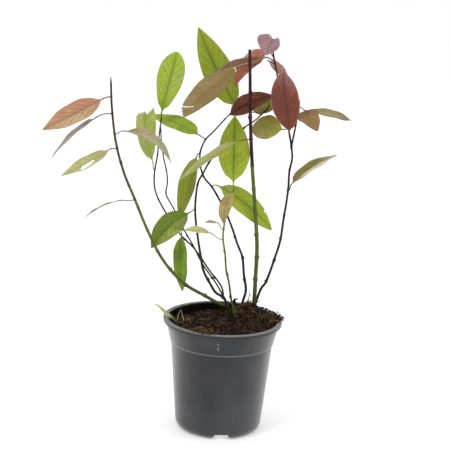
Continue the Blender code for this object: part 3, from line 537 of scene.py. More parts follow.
LOOKS = {
    "left_shoot_upper": Look(
        "leaf_pink", SALMON, left=SAND, tip=TAN, margin=BROWN, rib=BROWN, veins=CORAL,
        patch=TAN, under=ROSE, light=1.13,
    ),
    "left_shoot_edgewise": Look(
        "leaf_grey_brown", TAUPE, left=GREY_PINK, rib=GREY_PINK, under=GREY_PINK,
        light=0.93,
    ),
    "left_shoot_bitten": Look(
        "leaf_yellow_green", PALE_LIME, patch=PALE_GREEN, base=BEIGE, margin=KHAKI, rib=TAN,
        veins=KHAKI, under=SILVER_GREEN, light=1.17,
    ),
    "left_shoot_lowest": Look(
        "leaf_grey_brown", LICHEN, rib=TAUPE, under=SILVER_GREEN, stalk=LICHEN, light=0.72,
    ),
    "left_shoot_inner": Look(
        "leaf_pink", BEIGE, base=KHAKI, patch=STRAW, margin=ROSE, rib=CREAM, veins=KHAKI,
        tip=SILVER_GREEN, under=SILVER_GREEN, light=0.98,
    ),
    "centre_shoot_pale": Look(
        "leaf_pale_green", GREY_GREEN, right=SAGE, base=SAGE, tip=PALE_GREEN, rib=KHAKI,
        margin=KHAKI, light=1.33,
    ),
    "centre_shoot_torn": Look(
        "leaf_brown", BROWN_OLIVE, left=BRONZE, base=BRONZE, tip=KHAKI, patch=BRONZE,
        margin=UMBER, rib=RUST, veins=BROWN, under=KHAKI, light=1.08,
    ),
    # Its cream left half, tip and margin are a painted highlight: the pale grey sheen along this olive leaf.
    "right_shoot_low_grey": Look(
        "leaf_grey_brown", OLIVE, left=CREAM, base=BRONZE, tip=CREAM, margin=CREAM,
    ),
    "right_shoot_maroon": Look(
        "leaf_maroon", CHESTNUT, left=MAROON, tip=PLUM, patch=MAROON, rib=DARK_BROWN,
        margin=BROWN, specks=PINK, under=PLUM, light=1.3,
    ),
    "right_shoot_tan": Look(
        "leaf_olive", OLIVE, left=BROWN_OLIVE, right=BRONZE, tip=RUST, patch=OLIVE,
        rib=DEEP_GREEN, margin=RUST, under=KHAKI, light=1.85,
    ),
    "right_shoot_hidden_olive": Look(
        "leaf_olive", DARK_OLIVE, patch=BRONZE, margin=RUST, base=BRONZE, rib=VIVID_GREEN,
        veins=MOSS_GREEN, under=OLIVE, light=1.8,
    ),
    "right_shoot_long_brown": Look(
        "leaf_brown", BROWN, left=BROWN_OLIVE, right=UMBER, base=PINK, tip=BROWN_OLIVE,
        patch=BROWN, margin=ROSE, rib=CHESTNUT, specks=CREAM, under=TAN, light=1.03,
    ),
    "right_shoot_coral": Look(
        "leaf_coral", CORAL, patch=SALMON, rib=PINK, veins=MAROON, margin=MAROON,
        under=PINK, light=1.75,
    ),
    "right_shoot_pale_pink": Look(
        "leaf_pink", PINK, right=PLUM, base=ROSE, tip=PLUM, patch=BROWN, margin=CHESTNUT,
        veins=BROWN, under=PINK, light=1.5,
    ),
    "right_shoot_heart": Look(
        "leaf_maroon", MAUVE, rib=PLUM, veins=LILAC, margin=PLUM, patch=PLUM, under=MAUVE,
        light=1.12,
    ),
    "right_arm_rusty": Look(
        "leaf_rusty", RUST, patch=BROWN_OLIVE, margin=DARK_BROWN, rib=OLIVE, veins=BROWN,
        tip=BROWN, under=TAN, light=1.16,
    ),
    "right_arm_far_olive": Look(
        "leaf_olive", KHAKI, base=BRONZE, tip=BROWN, patch=BROWN_OLIVE, margin=BROWN,
        rib=BEIGE, under=KHAKI, light=1.02,
    ),
    "old_crown_dark_green": Look(
        "leaf_dark_green", DEEP_GREEN, left=SAGE, patch=DEEP_GREEN, rib=DARK_GREEN,
        margin=DARK_GREEN, under=GREY_GREEN, stalk=DARK_GREEN, light=1.15,
    ),
    "old_crown_great_green": Look(
        "leaf_fresh_green", YELLOW_GREEN, patch=FRESH_GREEN, margin=OLIVE, rib=DARK_GREEN,
        veins=DEEP_GREEN, specks=CHESTNUT, under=PALE_GREEN, light=1.08,
    ),
    "crown_back_twig_torn_pale": Look(
        "leaf_pale_green", PALE_GREEN, patch=SAGE, tip=BEIGE, rib=FRESH_GREEN, margin=BEIGE,
        under=SILVER_GREEN, stalk=SAGE, light=1.3,
    ),
    "crown_back_twig_tall_lime": Look(
        "leaf_yellow_green", LIME, patch=PALE_GREEN, base=FRESH_GREEN, rib=DEEP_GREEN,
        veins=VIVID_GREEN, margin=OLIVE, under=PALE_GREEN, light=1.1,
    ),
    "crown_front_twig_hanging": Look(
        "leaf_fresh_green", VIVID_GREEN, patch=DARK_GREEN, margin=DARK_GREEN,
        rib=DARK_GREEN, tip=DEEP_GREEN, under=GREY_GREEN, stalk=DARK_GREEN, light=1.42,
    ),
    "arched_shoot_spread_green": Look(
        "leaf_yellow_green", YELLOW_GREEN, patch=FRESH_GREEN, base=SAGE, rib=DARK_GREEN,
        veins=DEEP_GREEN, margin=OLIVE, under=PALE_GREEN, stalk=OLIVE, light=1.46,
    ),
    "arched_shoot_olive": Look(
        "leaf_olive", YELLOW_GREEN, left=MOSS_GREEN, right=FRESH_GREEN, base=SAGE,
        patch=OLIVE, margin=DARK_OLIVE, veins=OLIVE, under=GREY_GREEN, light=1.02,
    ),
    "arched_shoot_vivid_green": Look(
        "leaf_fresh_green", FRESH_GREEN, patch=VIVID_GREEN, tip=YELLOW_GREEN,
        rib=DEEP_GREEN, margin=OLIVE, under=PALE_GREEN, light=1.33,
    ),
    "arched_shoot_dusky": Look(
        "leaf_maroon", DARK_BROWN, patch=MAROON, margin=MAROON, rib=STEM_MAROON, under=PINK,
        light=1.6,
    ),
    "young_shoot_upright": Look(
        "leaf_yellow_green", YELLOW_GREEN, patch=FRESH_GREEN, rib=DARK_GREEN,
        veins=DEEP_GREEN, margin=RUST, under=PALE_GREEN, stalk=OLIVE, light=1.42,
    ),
    "young_shoot_drooping_pink": Look(
        "leaf_pink", STRAW, patch=BROWN_OLIVE, tip=KHAKI, margin=KHAKI, rib=BROWN_OLIVE,
        veins=KHAKI, under=PINK, stalk=OLIVE, light=1.1,
    ),
    "young_shoot_tiny": Look(
        "leaf_pale_green", LICHEN, rib=GREY_GREEN, under=SILVER_GREEN, stalk=SAGE,
        light=1.2,
    ),
    "young_shoot_small_pale": Look(
        "leaf_pale_green", PALE_LIME, margin=CREAM, rib=GREY_GREEN, under=SILVER_GREEN,
        stalk=SAGE, light=1.3,
    ),
}

# Holes and tears, in millimetres across (positive to the blade's right) and along the blade:
# each is a stadium from one point to another with this radius.
Gap = namedtuple("Gap", "start end radius")
GAPS = {
    "left_shoot_bitten": [
        Gap((-2.4, 22.2), (-2.8, 25.0), 1.7), Gap((-3.8, 26.5), (-4.2, 33.5), 2.9),
        Gap((-5.2, 35.2), (-5.2, 36.4), 1.7),
    ],
    "arched_shoot_spread_green": [Gap((-11.0, 65.0), (-9.0, 66.0), 1.5), Gap((-12, 69), (-9, 70), 1.4)],
    "centre_shoot_torn": [
        Gap((9.0, 70.5), (2.2, 65.0), 0.55), Gap((2.2, 65.0), (-2.7, 60.0), 0.45),
        Gap((-7.2, 78.0), (-6.9, 73.8), 0.9),
    ],
    "crown_back_twig_torn_pale": [
        Gap((2.2, 64.0), (2.0, 58.5), 1.3), Gap((-6.0, 66.0), (-5.0, 61.5), 1.0),
        Gap((7.0, 68.0), (6.4, 65.0), 0.8), Gap((12.5, 20.0), (11.0, 22.5), 1.6),
    ],
}
# Where a leaf is torn off: places on its torn edge, across and along the blade
TORN = {
    "centre_shoot_torn": ((-13, 72), (-10, 74), (-6, 77), (3, 72), (6, 69), (13, 65)),
    "crown_back_twig_torn_pale": ((-12, 55), (-9, 58.5), (-1, 59.5), (4, 59.5), (8, 63), (11, 67.5)),
}
TEAR_RAGGED = 0.9


def colour(screen):
    """The linear RGBA of a colour given as screen values from 0 to 255."""
    shares = [value / 255 for value in screen]
    linear = [s / 12.92 if s <= 0.04045 else ((s + 0.055) / 1.055) ** 2.4 for s in shares]
    return (*(LIT * value for value in linear), 1.0)


class Value:
    """What a shader node gives, so that a material can be written as formulas."""

    def __init__(self, finish, socket):
        self.finish, self.socket = finish, socket

    def calc(self, operation, *others):
        return self.finish.calc(operation, self, *others)

    __add__ = partialmethod(calc, "ADD")
    __sub__ = partialmethod(calc, "SUBTRACT")
    __mul__ = partialmethod(calc, "MULTIPLY")
    __truediv__ = partialmethod(calc, "DIVIDE")
    __pow__ = partialmethod(calc, "POWER")
    __abs__ = partialmethod(calc, "ABSOLUTE")


class Finish:
    """A Principled material, built up from its base colour and what covers it."""

    def __init__(self, name, **fixed):
        self.material = bpy.data.materials.new(name)
        self.material.use_nodes = True
        self.tree = self.material.node_tree
        self.shader = self.tree.nodes["Principled BSDF"]
        self.base = None
        for socket, value in fixed.items():
            self.shader.inputs[socket.replace("_", " ")].default_value = value

    def node(self, kind, inputs, output=0, **settings):
        made = self.tree.nodes.new("ShaderNode" + kind)
        for key, value in settings.items():
            setattr(made, key, value)
        for key, value in inputs.items():
            self.feed(made.inputs[key], value)
        return Value(self, made.outputs[output])

    def feed(self, socket, value):
        if isinstance(value, Value):
            self.tree.links.new(value.socket, socket)
        else:
            socket.default_value = value

    def calc(self, operation, *values):
        return self.node("Math", dict(enumerate(values)), operation=operation)

    def mix(self, share, a, b):
        """Colour a where share is 0 and b where it is 1, each as screen values or a Value."""
        a, b = (tone if isinstance(tone, Value) else colour(tone) for tone in (a, b))
        return self.node("Mix", {0: share, 6: a, 7: b}, output=2, data_type="RGBA")

    def cover(self, share, tone):
        """Lays a colour over the base colour."""
        self.base = self.mix(share, self.base, tone)

    def step(self, value, start, end, low=0.0, high=1.0):
        """A smooth step from low at start to high at end."""
        inputs = {"Value": value, "From Min": start, "From Max": end, "To Min": low, "To Max": high}
        return self.node("MapRange", inputs, interpolation_type="SMOOTHSTEP")

    def position(self):
        return self.node("TexCoord", {}, output="Object")

    def stretched(self, *factors):
        """The object's own coordinates, multiplied along each axis."""
        return self.node("VectorMath", {0: self.position(), 1: factors}, operation="MULTIPLY")

    def noise(self, scale, detail=3.0, vector=None):
        vector = vector or self.position()
        return self.node("TexNoise", {"Vector": vector, "Scale": scale, "Detail": detail})

    def cells(self, scale, vector=None, **settings):
        """The distance from the nearest cell's middle, or from its edge."""
        inputs = {"Vector": vector or self.position(), "Scale": scale}
        return self.node("TexVoronoi", inputs, output="Distance", **settings)

    def parts(self, vector):
        made = self.tree.nodes.new("ShaderNodeSeparateXYZ")
        self.feed(made.inputs[0], vector)
        return [Value(self, output) for output in made.outputs]

    def place(self):
        """What the mesh keeps for each of its points."""
        return self.parts(self.node("Attribute", {}, output="Vector", attribute_name="place"))

    def done(self, roughness, relief=None, depth=0.0, strength=1.0):
        """The material with its base colour, this roughness, and relief of this depth in metres."""
        self.feed(self.shader.inputs["Base Color"], self.base)
        self.feed(self.shader.inputs["Roughness"], roughness)
        if relief:
            inputs = {"Height": relief, "Distance": depth, "Strength": strength}
            self.feed(self.shader.inputs["Normal"], self.node("Bump", inputs))
        return self.material


def new_piece(name, points, faces, finish, smooth_below=60.0):
    """An object from points in millimetres, with its faces turned outwards."""
    mesh = bpy.data.meshes.new(name)
    mesh.from_pydata(np.asarray(points, float) * MM, [], faces)
    shape = bmesh.new()
    shape.from_mesh(mesh)
    bmesh.ops.recalc_face_normals(shape, faces=shape.faces)
    shape.to_mesh(mesh)
    shape.free()
    mesh.materials.append(finish)
    mesh.shade_smooth()
    mesh.set_sharp_from_angle(angle=math.radians(smooth_below))
    obj = bpy.data.objects.new(name, mesh)
    bpy.context.scene.collection.objects.link(obj)
    return obj


def store(obj, values):
    """Keeps one vector for each point of the mesh, for its material to read."""
    made = obj.data.attributes.new("place", "FLOAT_VECTOR", "POINT")
    made.data.foreach_set("vector", np.asarray(values, np.float32).ravel())


def settle(obj, slot, *nodes):
    """The piece rides on the body, in place of these nodes. Its slot is not used."""
    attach(obj, BODY)
    if nodes:
        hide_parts(*nodes)


def turns(count):
    """This many angles, spread evenly round a circle."""
    return [2 * math.pi * k / count for k in range(count)]


def outward(turn):
    """The level direction at this angle round the pot's axis."""
    return Vector((math.cos(turn), math.sin(turn), 0))


def circle(radius, z, count):
    """This many points round the pot's axis."""
    return [(radius * math.cos(turn), radius * math.sin(turn), z) for turn in turns(count)]


class Path:
    """A smooth curve through given points, read by the length along it."""

    STEP = 2.0

    def __init__(self, controls):
        self.points = self.smooth([Vector(p) for p in controls])
        self.lengths = [0.0]
        for a, b in zip(self.points, self.points[1:]):
            self.lengths.append(self.lengths[-1] + (b - a).length)
        self.length = self.lengths[-1]
        self.sides = self.carried_sides()

    def smooth(self, controls):
        before = 2 * controls[0] - controls[1]
        after = 2 * controls[-1] - controls[-2]
        ends = [before, *controls, after]
        points = []
        for a, b, c, d in zip(ends, ends[1:], ends[2:], ends[3:]):
            span = (c - b).length
            leave = (c - a) * span / ((b - a).length + span)
            arrive = (d - b) * span / ((d - c).length + span)
            count = max(1, round(span / self.STEP))
            for i in range(count):
                t = i / count
                points.append(
                    b * (2 * t**3 - 3 * t**2 + 1)
                    + leave * (t**3 - 2 * t**2 + t)
                    + c * (3 * t**2 - 2 * t**3)
                    + arrive * (t**3 - t**2)
                )
        return points + [controls[-1]]

    def direction(self, i):
        low, high = max(0, i - 1), min(len(self.points) - 1, i + 1)
        return (self.points[high] - self.points[low]).normalized()

    def carried_sides(self):
        """A vector across the curve at each point, carried along without twisting."""
        tangent = self.direction(0)
        side = tangent.orthogonal().normalized()
        sides = [side]
        for i in range(1, len(self.points)):
            turned_tangent = self.direction(i)
            side = tangent.rotation_difference(turned_tangent) @ side
            tangent = turned_tangent
            sides.append(side.normalized())
        return sides

    def frame(self, s):
        """Centre, tangent and two vectors across the curve, at the length s along it."""
        s = min(max(s, 0.0), self.length)
        i = 0
        while i < len(self.points) - 2 and self.lengths[i + 1] < s:
            i += 1
        t = (s - self.lengths[i]) / (self.lengths[i + 1] - self.lengths[i])
        centre = self.points[i].lerp(self.points[i + 1], t)
        tangent = self.direction(i).lerp(self.direction(i + 1), t).normalized()
        side = self.sides[i].lerp(self.sides[i + 1], t)
        side = (side - tangent * side.dot(tangent)).normalized()
        return centre, tangent, side, tangent.cross(side)

    def nearest(self, target):
        """The length along the curve at its nearest point to target."""
        target = Vector(target)
        i = min(range(len(self.points)), key=lambda k: (self.points[k] - target).length)
        return self.lengths[i]


class Stem:
    """A shoot's own tube: its path, its taper, and its nodes with a bud on each."""

    def __init__(self, shoot):
        self.shoot = shoot
        self.path = Path(shoot.points)
        self.leaf_nodes = [self.path.nearest(leaf.near) for leaf in shoot.leaves]
        self.growing = not any(leaf.terminal for leaf in shoot.leaves) and shoot.name not in CUT_OFF
        self.buds = []
        for k in range(1, int(self.path.length / BUD_GAP)):
            s = k * BUD_GAP
            if all(abs(s - node) > 3 * BUD_LENGTH for node in self.leaf_nodes):
                self.buds.append((s, k * BUD_TURN))

    def radius(self, s):
        share = min(max(s / self.path.length, 0.0), 1.0)
        plain = self.shoot.base_radius + (self.shoot.tip_radius - self.shoot.base_radius) * share
        nodes = self.leaf_nodes + [bud for bud, _ in self.buds]
        swelling = max(self.hump(s - node) for node in nodes)
        return plain * (1 + NODE_SWELLING * swelling)

    @staticmethod
    def hump(away):
        return max(0.0, 1 - (away / BUD_LENGTH) ** 2)

    def surface(self, s, turn):
        """The distance from the path to the bark, with the bud where there is one. A bud lies
        against the stem: it starts at its scar and is fullest a little above."""
        bud = 0.0
        for at, angle in self.buds:
            facing = max(0.0, math.cos(turn - angle)) ** BUD_NARROWNESS
            bud += self.hump((s - at) * (1.0 if s > at else BUD_STEEPNESS)) * facing
        scar = sum(math.exp(-(((s - node) / SCAR_LENGTH) ** 2)) for node, _ in self.buds)
        return self.radius(s) * (1 + SCAR_RISE * scar) + BUD_HEIGHT * bud

    def tip_share(self, s):
        """0 along the stem and 1 at the growing tip, where the stem ends in a pointed bud."""
        if not self.growing:
            return 0.0
        return max(0.0, 1 - (self.path.length - s) / TIP_LENGTH)

    def ring(self, s):
        centre, _, side, other = self.path.frame(s)
        narrowing = 1 - TIP_NARROWING * self.tip_share(s) ** TIP_POINTED
        ring = []
        for turn in turns(STEM_SIDES):
            away = side * math.cos(turn) + other * math.sin(turn)
            grain = noise.noise(Vector((3 * math.cos(turn), 3 * math.sin(turn), s / 9)))
            grain += 0.6 * noise.noise(Vector((5 * math.cos(turn), 5 * math.sin(turn), s / 2)))
            reach = self.surface(s, turn) * (1 + BARK_ROUGHNESS * grain) * narrowing
            if self.shoot.finish == "dark_stem":
                reach *= DARK_STEM_SHARE
            ring.append(centre + away * reach)
        return ring

    def skin(self):
        """Points, faces and, for each point, its share along the stem and how new it is."""
        count = round(self.path.length / STEM_STEP)
        lengths = [self.path.length * i / count for i in range(count + 1)]
        rings = [self.ring(s) for s in lengths]
        notes = [(s / self.path.length, self.tip_share(s), 0.0) for s in lengths]
        if self.shoot.root:
            shift = Vector(self.shoot.root) - self.path.points[0]
            rings.insert(0, [p + shift for p in rings[0]])
            notes.insert(0, notes[0])
        points, faces = loft(rings)
        return points, faces, [note for note in notes for _ in range(STEM_SIDES)]

    def seat(self, leaf):
        """Where this leaf's stalk leaves the stem's axis, and the direction it leaves in."""
        centre, tangent, _, _ = self.path.frame(self.path.nearest(leaf.near))
        if leaf.terminal:
            return self.path.points[-1], tangent
        away = Vector(leaf.base) - centre
        away = (away - tangent * away.dot(tangent)).normalized()
        return centre + away * (self.radius(self.path.nearest(leaf.near)) - STALK_SINK), away


def loft(rings, closed=False):
    """Points and faces of a skin through rings of equal size, with flat ends, or closed from
    the last ring to the first."""
    size = len(rings[0])
    points = [p for ring in rings for p in ring]
    total = len(points)
    faces = [] if closed else [tuple(range(size)), tuple(range(total - size, total))]
    for first in range(0, total if closed else total - size, size):
        after = (first + size) % total
        for j in range(size):
            k = (j + 1) % size
            faces.append((first + j, first + k, after + k, after + j))
    return points, faces


def bezier(points, t):
    """The point at share t of a Bezier curve, and its direction there."""
    while len(points) > 2:
        points = [a.lerp(b, t) for a, b in zip(points, points[1:])]
    return points[0].lerp(points[1], t), (points[1] - points[0]).normalized()


def blade_frame(leaf, tangent):
    across = tangent.cross(Vector(leaf.face)).normalized()
    return across, across.cross(tangent)


def half_width(leaf, s):
    """Half the blade's width at the shares s of its length, without the teeth."""
    s = np.clip(s, 0.0, 1.0)
    fullness = LOBED_FULLNESS if leaf.name in LOBES else BASE_FULLNESS
    rising = np.sin(np.pi / 2 * np.minimum(s / leaf.widest, 1.0)) ** fullness
    falling = np.sin(np.pi / 2 * np.minimum((1 - s) / (1 - leaf.widest), 1.0)) ** leaf.drawn
    share = np.where(s < leaf.widest, rising, falling)
    return np.maximum(STALK_RADIUS * (1 - 0.8 * s), share * leaf.width / 2)


def vein_phase(x, s):
    """Counts the side veins along the blade: they leave the midrib and arch to the tip."""
    side_shift = np.where(x > 0, 0.5, 0.0)
    return SIDE_VEINS * s - VEIN_ARCH * np.abs(x) ** VEIN_CURVE + side_shift


class Blade:
    """One leaf's skin: a grid of rows along it and columns across it, above and below."""

    def __init__(self, stem, leaf):
        self.leaf = leaf
        self.name = f"{stem.shoot.name}_{leaf.name}"
        self.length = (Vector(leaf.tip) - Vector(leaf.base)).length
        self.centres, self.across, self.ups = self.row_frames(*stem.seat(leaf))
        self.ahead = np.cross(self.ups, self.across)
        self.rows, self.xs = np.meshgrid(
            np.arange(len(self.centres), dtype=float), np.linspace(-1, 1, COLUMNS), indexing="ij"
        )
        self.kept = np.ones((len(self.centres) - 1, COLUMNS - 1), bool)
        self.gaps = GAPS.get(self.name, [])
        self.torn = TORN.get(self.name)
        if self.gaps or self.torn:
            self.open_gaps()

    def row_frames(self, start, away):
        leaf = self.leaf
        base, tip = Vector(leaf.base), Vector(leaf.tip)
        across, up = blade_frame(leaf, (tip - base).normalized())
        blade = [base, (base + tip) / 2 + (up * leaf.arch + across * leaf.bow) * 2, tip]
        reach = (base - start).length * STALK_BEND
        stalk = [start, start + away * reach, base - bezier(blade, 0.0)[1] * reach, base]
        rows = [bezier(stalk, i / STALK_ROWS) for i in range(STALK_ROWS)]
        rows += [bezier(blade, i / BLADE_ROWS) for i in range(BLADE_ROWS + 1)]
        frames = [blade_frame(leaf, tangent) for _, tangent in rows]
        centres = np.array([centre for centre, _ in rows])
        return centres, np.array([f[0] for f in frames]), np.array([f[1] for f in frames])

    def along(self, rows):
        """The share along the blade, below 0 on the stalk."""
        return (rows - STALK_ROWS) / np.where(rows < STALK_ROWS, STALK_ROWS, BLADE_ROWS)

    def clearance(self, rows, xs):
        """How far a place on the blade is from the nearest hole or torn edge, in millimetres,
        and below 0 inside a hole."""
        s = self.along(rows)
        across, along = xs * half_width(self.leaf, s), s * self.length
        away = np.full_like(across, 1e3)
        for gap in self.gaps:
            start, end = np.array(gap.start, float), np.array(gap.end, float)
            run = end - start
            share = (across - start[0]) * run[0] + (along - start[1]) * run[1]
            share = np.clip(share / (run @ run), 0, 1)
            reach = np.hypot(across - start[0] - share * run[0], along - start[1] - share * run[1])
            away = np.minimum(away, reach - gap.radius)
        if self.torn:
            places, ends = zip(*self.torn)
            ragged = np.sin(across * 2.3 + self.leaf.width) + 0.7 * np.sin(across * 5.1)
            away = np.minimum(away, np.interp(across, places, ends) + TEAR_RAGGED * ragged - along)
        return away

    def open_gaps(self):
        """Leaves out the grid's faces in the gaps, and moves their edges onto the outline."""
        middle_rows = (self.rows[:-1, :-1] + self.rows[1:, 1:]) / 2
        middle_xs = (self.xs[:-1, :-1] + self.xs[1:, 1:]) / 2
        self.kept = self.clearance(middle_rows, middle_xs) > 0
        gone = np.zeros(self.rows.shape, bool)
        stays = np.zeros(self.rows.shape, bool)
        rows, columns = self.kept.shape
        for i, j in ((0, 0), (0, 1), (1, 0), (1, 1)):
            corner = (slice(i, i + rows), slice(j, j + columns))
            gone[corner] |= ~self.kept
            stays[corner] |= self.kept
        edge = gone & stays & (np.abs(self.xs) < 1)
        step_row, step_x = 0.05, 0.005
        away = self.clearance(self.rows, self.xs)
        by_row = (self.clearance(self.rows + step_row, self.xs) - away) / step_row
        by_x = (self.clearance(self.rows, self.xs + step_x) - away) / step_x
        half = half_width(self.leaf, self.along(self.rows))
        row_size = self.length / BLADE_ROWS
        steep = (by_row / row_size) ** 2 + (by_x / half) ** 2 + 1e-6
        limit_row, limit_x = 0.7, 1.4 / COLUMNS
        moved_row = np.clip(away * by_row / row_size**2 / steep, -limit_row, limit_row)
        moved_x = np.clip(away * by_x / half**2 / steep, -limit_x, limit_x)
        self.rows = self.rows - edge * moved_row
        self.xs = np.clip(self.xs - edge * moved_x, -1, 1)

    def at_rows(self, values):
        """These values of each row, read between the rows."""
        low = np.clip(np.floor(self.rows).astype(int), 0, len(values) - 2)
        share = (self.rows - low)[..., None]
        return values[low] * (1 - share) + values[low + 1] * share

    def skin(self):
        """Points above and below, and what the material reads for each."""
        leaf, x = self.leaf, self.xs
        s = self.along(self.rows)
        on_blade = np.clip(s, 0, 1)
        blend = LOBED_BLEND if leaf.name in LOBES else BLADE_BLEND
        flat = np.clip(on_blade / blend, 0, 1)
        flat = flat * flat * (3 - 2 * flat)
        half = half_width(leaf, on_blade)
        if leaf.name in LOBES:
            half = half * (1 + LOBE_SKEW * x)
        size = np.abs(x)
        tooth = (TEETH * on_blade + 0.35 * np.sin(9 * on_blade + leaf.width)) % 1.0
        toothed = np.sin(np.pi * np.clip(on_blade, TEETH_START, TEETH_END))
        teeth = TOOTH * (1 - tooth) * toothed * size**TOOTH_EDGE
        folded = leaf.fold * size * (2 - size)
        wave = WAVE * np.sin(2 * np.pi * WAVES * on_blade + leaf.width) * x * size
        lift = half * flat * (folded + wave)
        veins = 0.5 + 0.5 * np.cos(2 * np.pi * vein_phase(x, on_blade))
        fade = np.sin(np.pi * np.clip(size, 0, 1)) * flat * np.sin(np.pi * on_blade) ** 0.5
        lift = lift - QUILT * veins**QUILT_EDGE * fade
        pucker = np.sin(PUCKER_ACROSS * x * half + PUCKER_SHIFT)
        pucker = pucker * np.sin(PUCKER_ALONG * on_blade * self.length)
        lift = lift + PUCKER * flat * pucker
        rib = np.exp(-((x * half / MIDRIB_HALF) ** 2)) * (1 - RIB_TAPER * on_blade) * flat
        turn = x * STALK_OPENING
        stalk = STALK_RADIUS * (1 - STALK_WAIST * np.sin(np.pi * np.clip(-s, 0, 1)))
        spread = np.sin(turn) * stalk * (1 - flat) + (x * half + np.sign(x) * teeth) * flat
        rise = np.cos(turn) * stalk * (1 - flat)
        above = rise + BLADE / 2 * flat - GROOVE * MIDRIB * rib
        below = rise + BLADE / 2 * flat + MIDRIB * rib
        back = LOBES.get(leaf.name, 0.0) * np.sin(np.pi * size**1.4) * (1 - on_blade) ** 2.5 * flat
        centres, across, ups, ahead = map(
            self.at_rows, (self.centres, self.across, self.ups, self.ahead)
        )
        middle = centres + across * spread[..., None] + ups * lift[..., None]
        middle = middle - ahead * back[..., None]
        top = middle + ups * above[..., None]
        bottom = middle - ups * below[..., None]
        notes = [np.stack([x, s, np.full_like(x, side)], -1).reshape(-1, 3) for side in (1.0, 0.0)]
        return np.concatenate([top.reshape(-1, 3), bottom.reshape(-1, 3)]), np.concatenate(notes)

    def faces(self):
        """Quads above and below, and walls between them along every open edge."""
        columns = self.rows.shape[1]
        under = self.rows.size
        faces = []
        edges = {}
        for i, j in zip(*np.nonzero(self.kept)):
            a = int(i) * columns + int(j)
            quad = (a, a + 1, a + columns + 1, a + columns)
            faces.append(quad)
            faces.append(tuple(k + under for k in reversed(quad)))
            for start, end in zip(quad, quad[1:] + quad[:1]):
                if (end, start) in edges:
                    del edges[(end, start)]
                else:
                    edges[(start, end)] = True
        for start, end in edges:
            faces.append((end, start, start + under, end + under))
        return faces


def leaf_finish(name, look):
    """The leaf's own colours, laid out by the place on the blade: across, along and side."""
    finish = Finish(name, Specular_IOR_Level=0.12)
    step, cover = finish.step, finish.cover
    x, s, side = finish.place()
    size = abs(x)
    cloud = finish.noise(60.0, 2.0)
    shift = (cloud - 0.5) * 0.5
    finish.base = finish.mix(step(x + shift, -0.15, 0.2), look.left or look.main, look.right or look.main)
    patches = step(finish.noise(85.0, 2.0), 0.44, 0.6, 0.0, 0.75)
    if look.patch:
        cover(patches, look.patch)
    cover(step(s + shift, 0.62, 0.98), look.tip or look.main)
    cover(step(s + shift, 0.34, 0.04), look.base or look.main)

    other_side = finish.calc("GREATER_THAN", x, 0.0) * 0.5
    count = s * SIDE_VEINS - size**VEIN_CURVE * VEIN_ARCH + other_side
    wobble = count + (finish.noise(150.0) - 0.5) * 0.35
    wave = finish.calc("COSINE", wobble * (2 * math.pi))
    within = step(size, 1.0, 0.7)
    side_vein = step(wave, 0.86, 1.0) * within
    beside = step(wave, 0.2, 0.9) * within
    netting = step(finish.cells(560.0, feature="DISTANCE_TO_EDGE"), 0.1, 0.0)
    midrib = step(size, 0.075, 0.03)
    near_rib = step(size, 0.32, 0.06)
    rib = look.rib or look.main
    veins = look.veins or rib
    cover(beside * 0.2, veins)
    cover(near_rib * 0.3, rib)
    cover(netting * 0.12, veins)
    cover(side_vein * 0.4, veins)
    cover(midrib * 0.75, rib)
    cover(step(size, 0.9, 1.0, 0.0, 0.5), look.margin or look.main)
    if look.specks:
        dots = step(finish.cells(420.0), 0.22, 0.12) * step(finish.noise(90.0, 1.0), 0.5, 0.66)
        cover(dots * 0.6, look.specks)

    upper = lower = finish.base
    if look.under:
        lower = finish.mix(patches * 0.4, look.under, look.main)
        raised = finish.calc("MAXIMUM", side_vein * 0.5, midrib)
        lower = finish.mix(raised * 0.4, lower, CREAM)
    finish.base = finish.mix(side, lower, upper)
    cover(step(s, 0.035, -0.01), finish.mix(0.4, look.stalk, rib))
    grain = step(finish.noise(420.0, 2.0), 0.3, 0.7, 0.9 * look.light, 1.08 * look.light)
    finish.base = finish.node("VectorMath", {0: finish.base, "Scale": grain}, operation="SCALE")
    relief = netting * -0.35 + side_vein * -0.7
    return finish.done(step(cloud, 0.3, 0.7, 0.4, 0.56), relief, 0.00016)


def make_leaf(stem, leaf):
    blade = Blade(stem, leaf)
    look = LOOKS[blade.name]
    points, notes = blade.skin()
    piece = new_piece(blade.name + "_blade", points, blade.faces(), leaf_finish(blade.name, look))
    store(piece, notes)
    drop_loose_points(piece)
    settle(piece, look.slot, blade.name + "_leaf")


def drop_loose_points(obj):
    shape = bmesh.new()
    shape.from_mesh(obj.data)
    loose = [v for v in shape.verts if not v.link_faces]
    bmesh.ops.delete(shape, geom=loose, context="VERTS")
    shape.to_mesh(obj.data)
    shape.free()


def stem_finish(kind):
    """Bark that changes along the stem, with pale lenticels and fine lengthwise grain."""
    low, high, light, change = STEM_KINDS[kind]
    finish = Finish(kind, Specular_IOR_Level=0.16)
    step, cover = finish.step, finish.cover
    share, new, _ = finish.place()
    cloud = finish.noise(110.0)
    streaks = finish.noise(700.0, vector=finish.stretched(1.0, 1.0, 0.08))
    streak = step(streaks, 0.5, 0.72, 0.0, 0.45)
    lower_bark = finish.mix(streak, low, light)
    upper_bark = finish.mix(streak * 0.7, high, PLUM)
    finish.base = finish.mix(step((cloud - 0.5) * 0.16 + share, *change), lower_bark, upper_bark)
    cover(step(cloud, 0.56, 0.72, 0.0, 0.35), STEM_MAROON)
    dots = finish.cells(620.0, finish.stretched(1.0, 1.0, 0.6))
    cover(step(dots, 0.16, 0.06, 0.0, 0.35), BARK_GREY)
    cover(step(share, 0.07, 0.0, 0.0, 0.6), BARK)
    cover(new * 0.8, TAUPE)
    return finish.done(step(cloud, 0.3, 0.7, 0.42, 0.62), streaks, 0.0003)


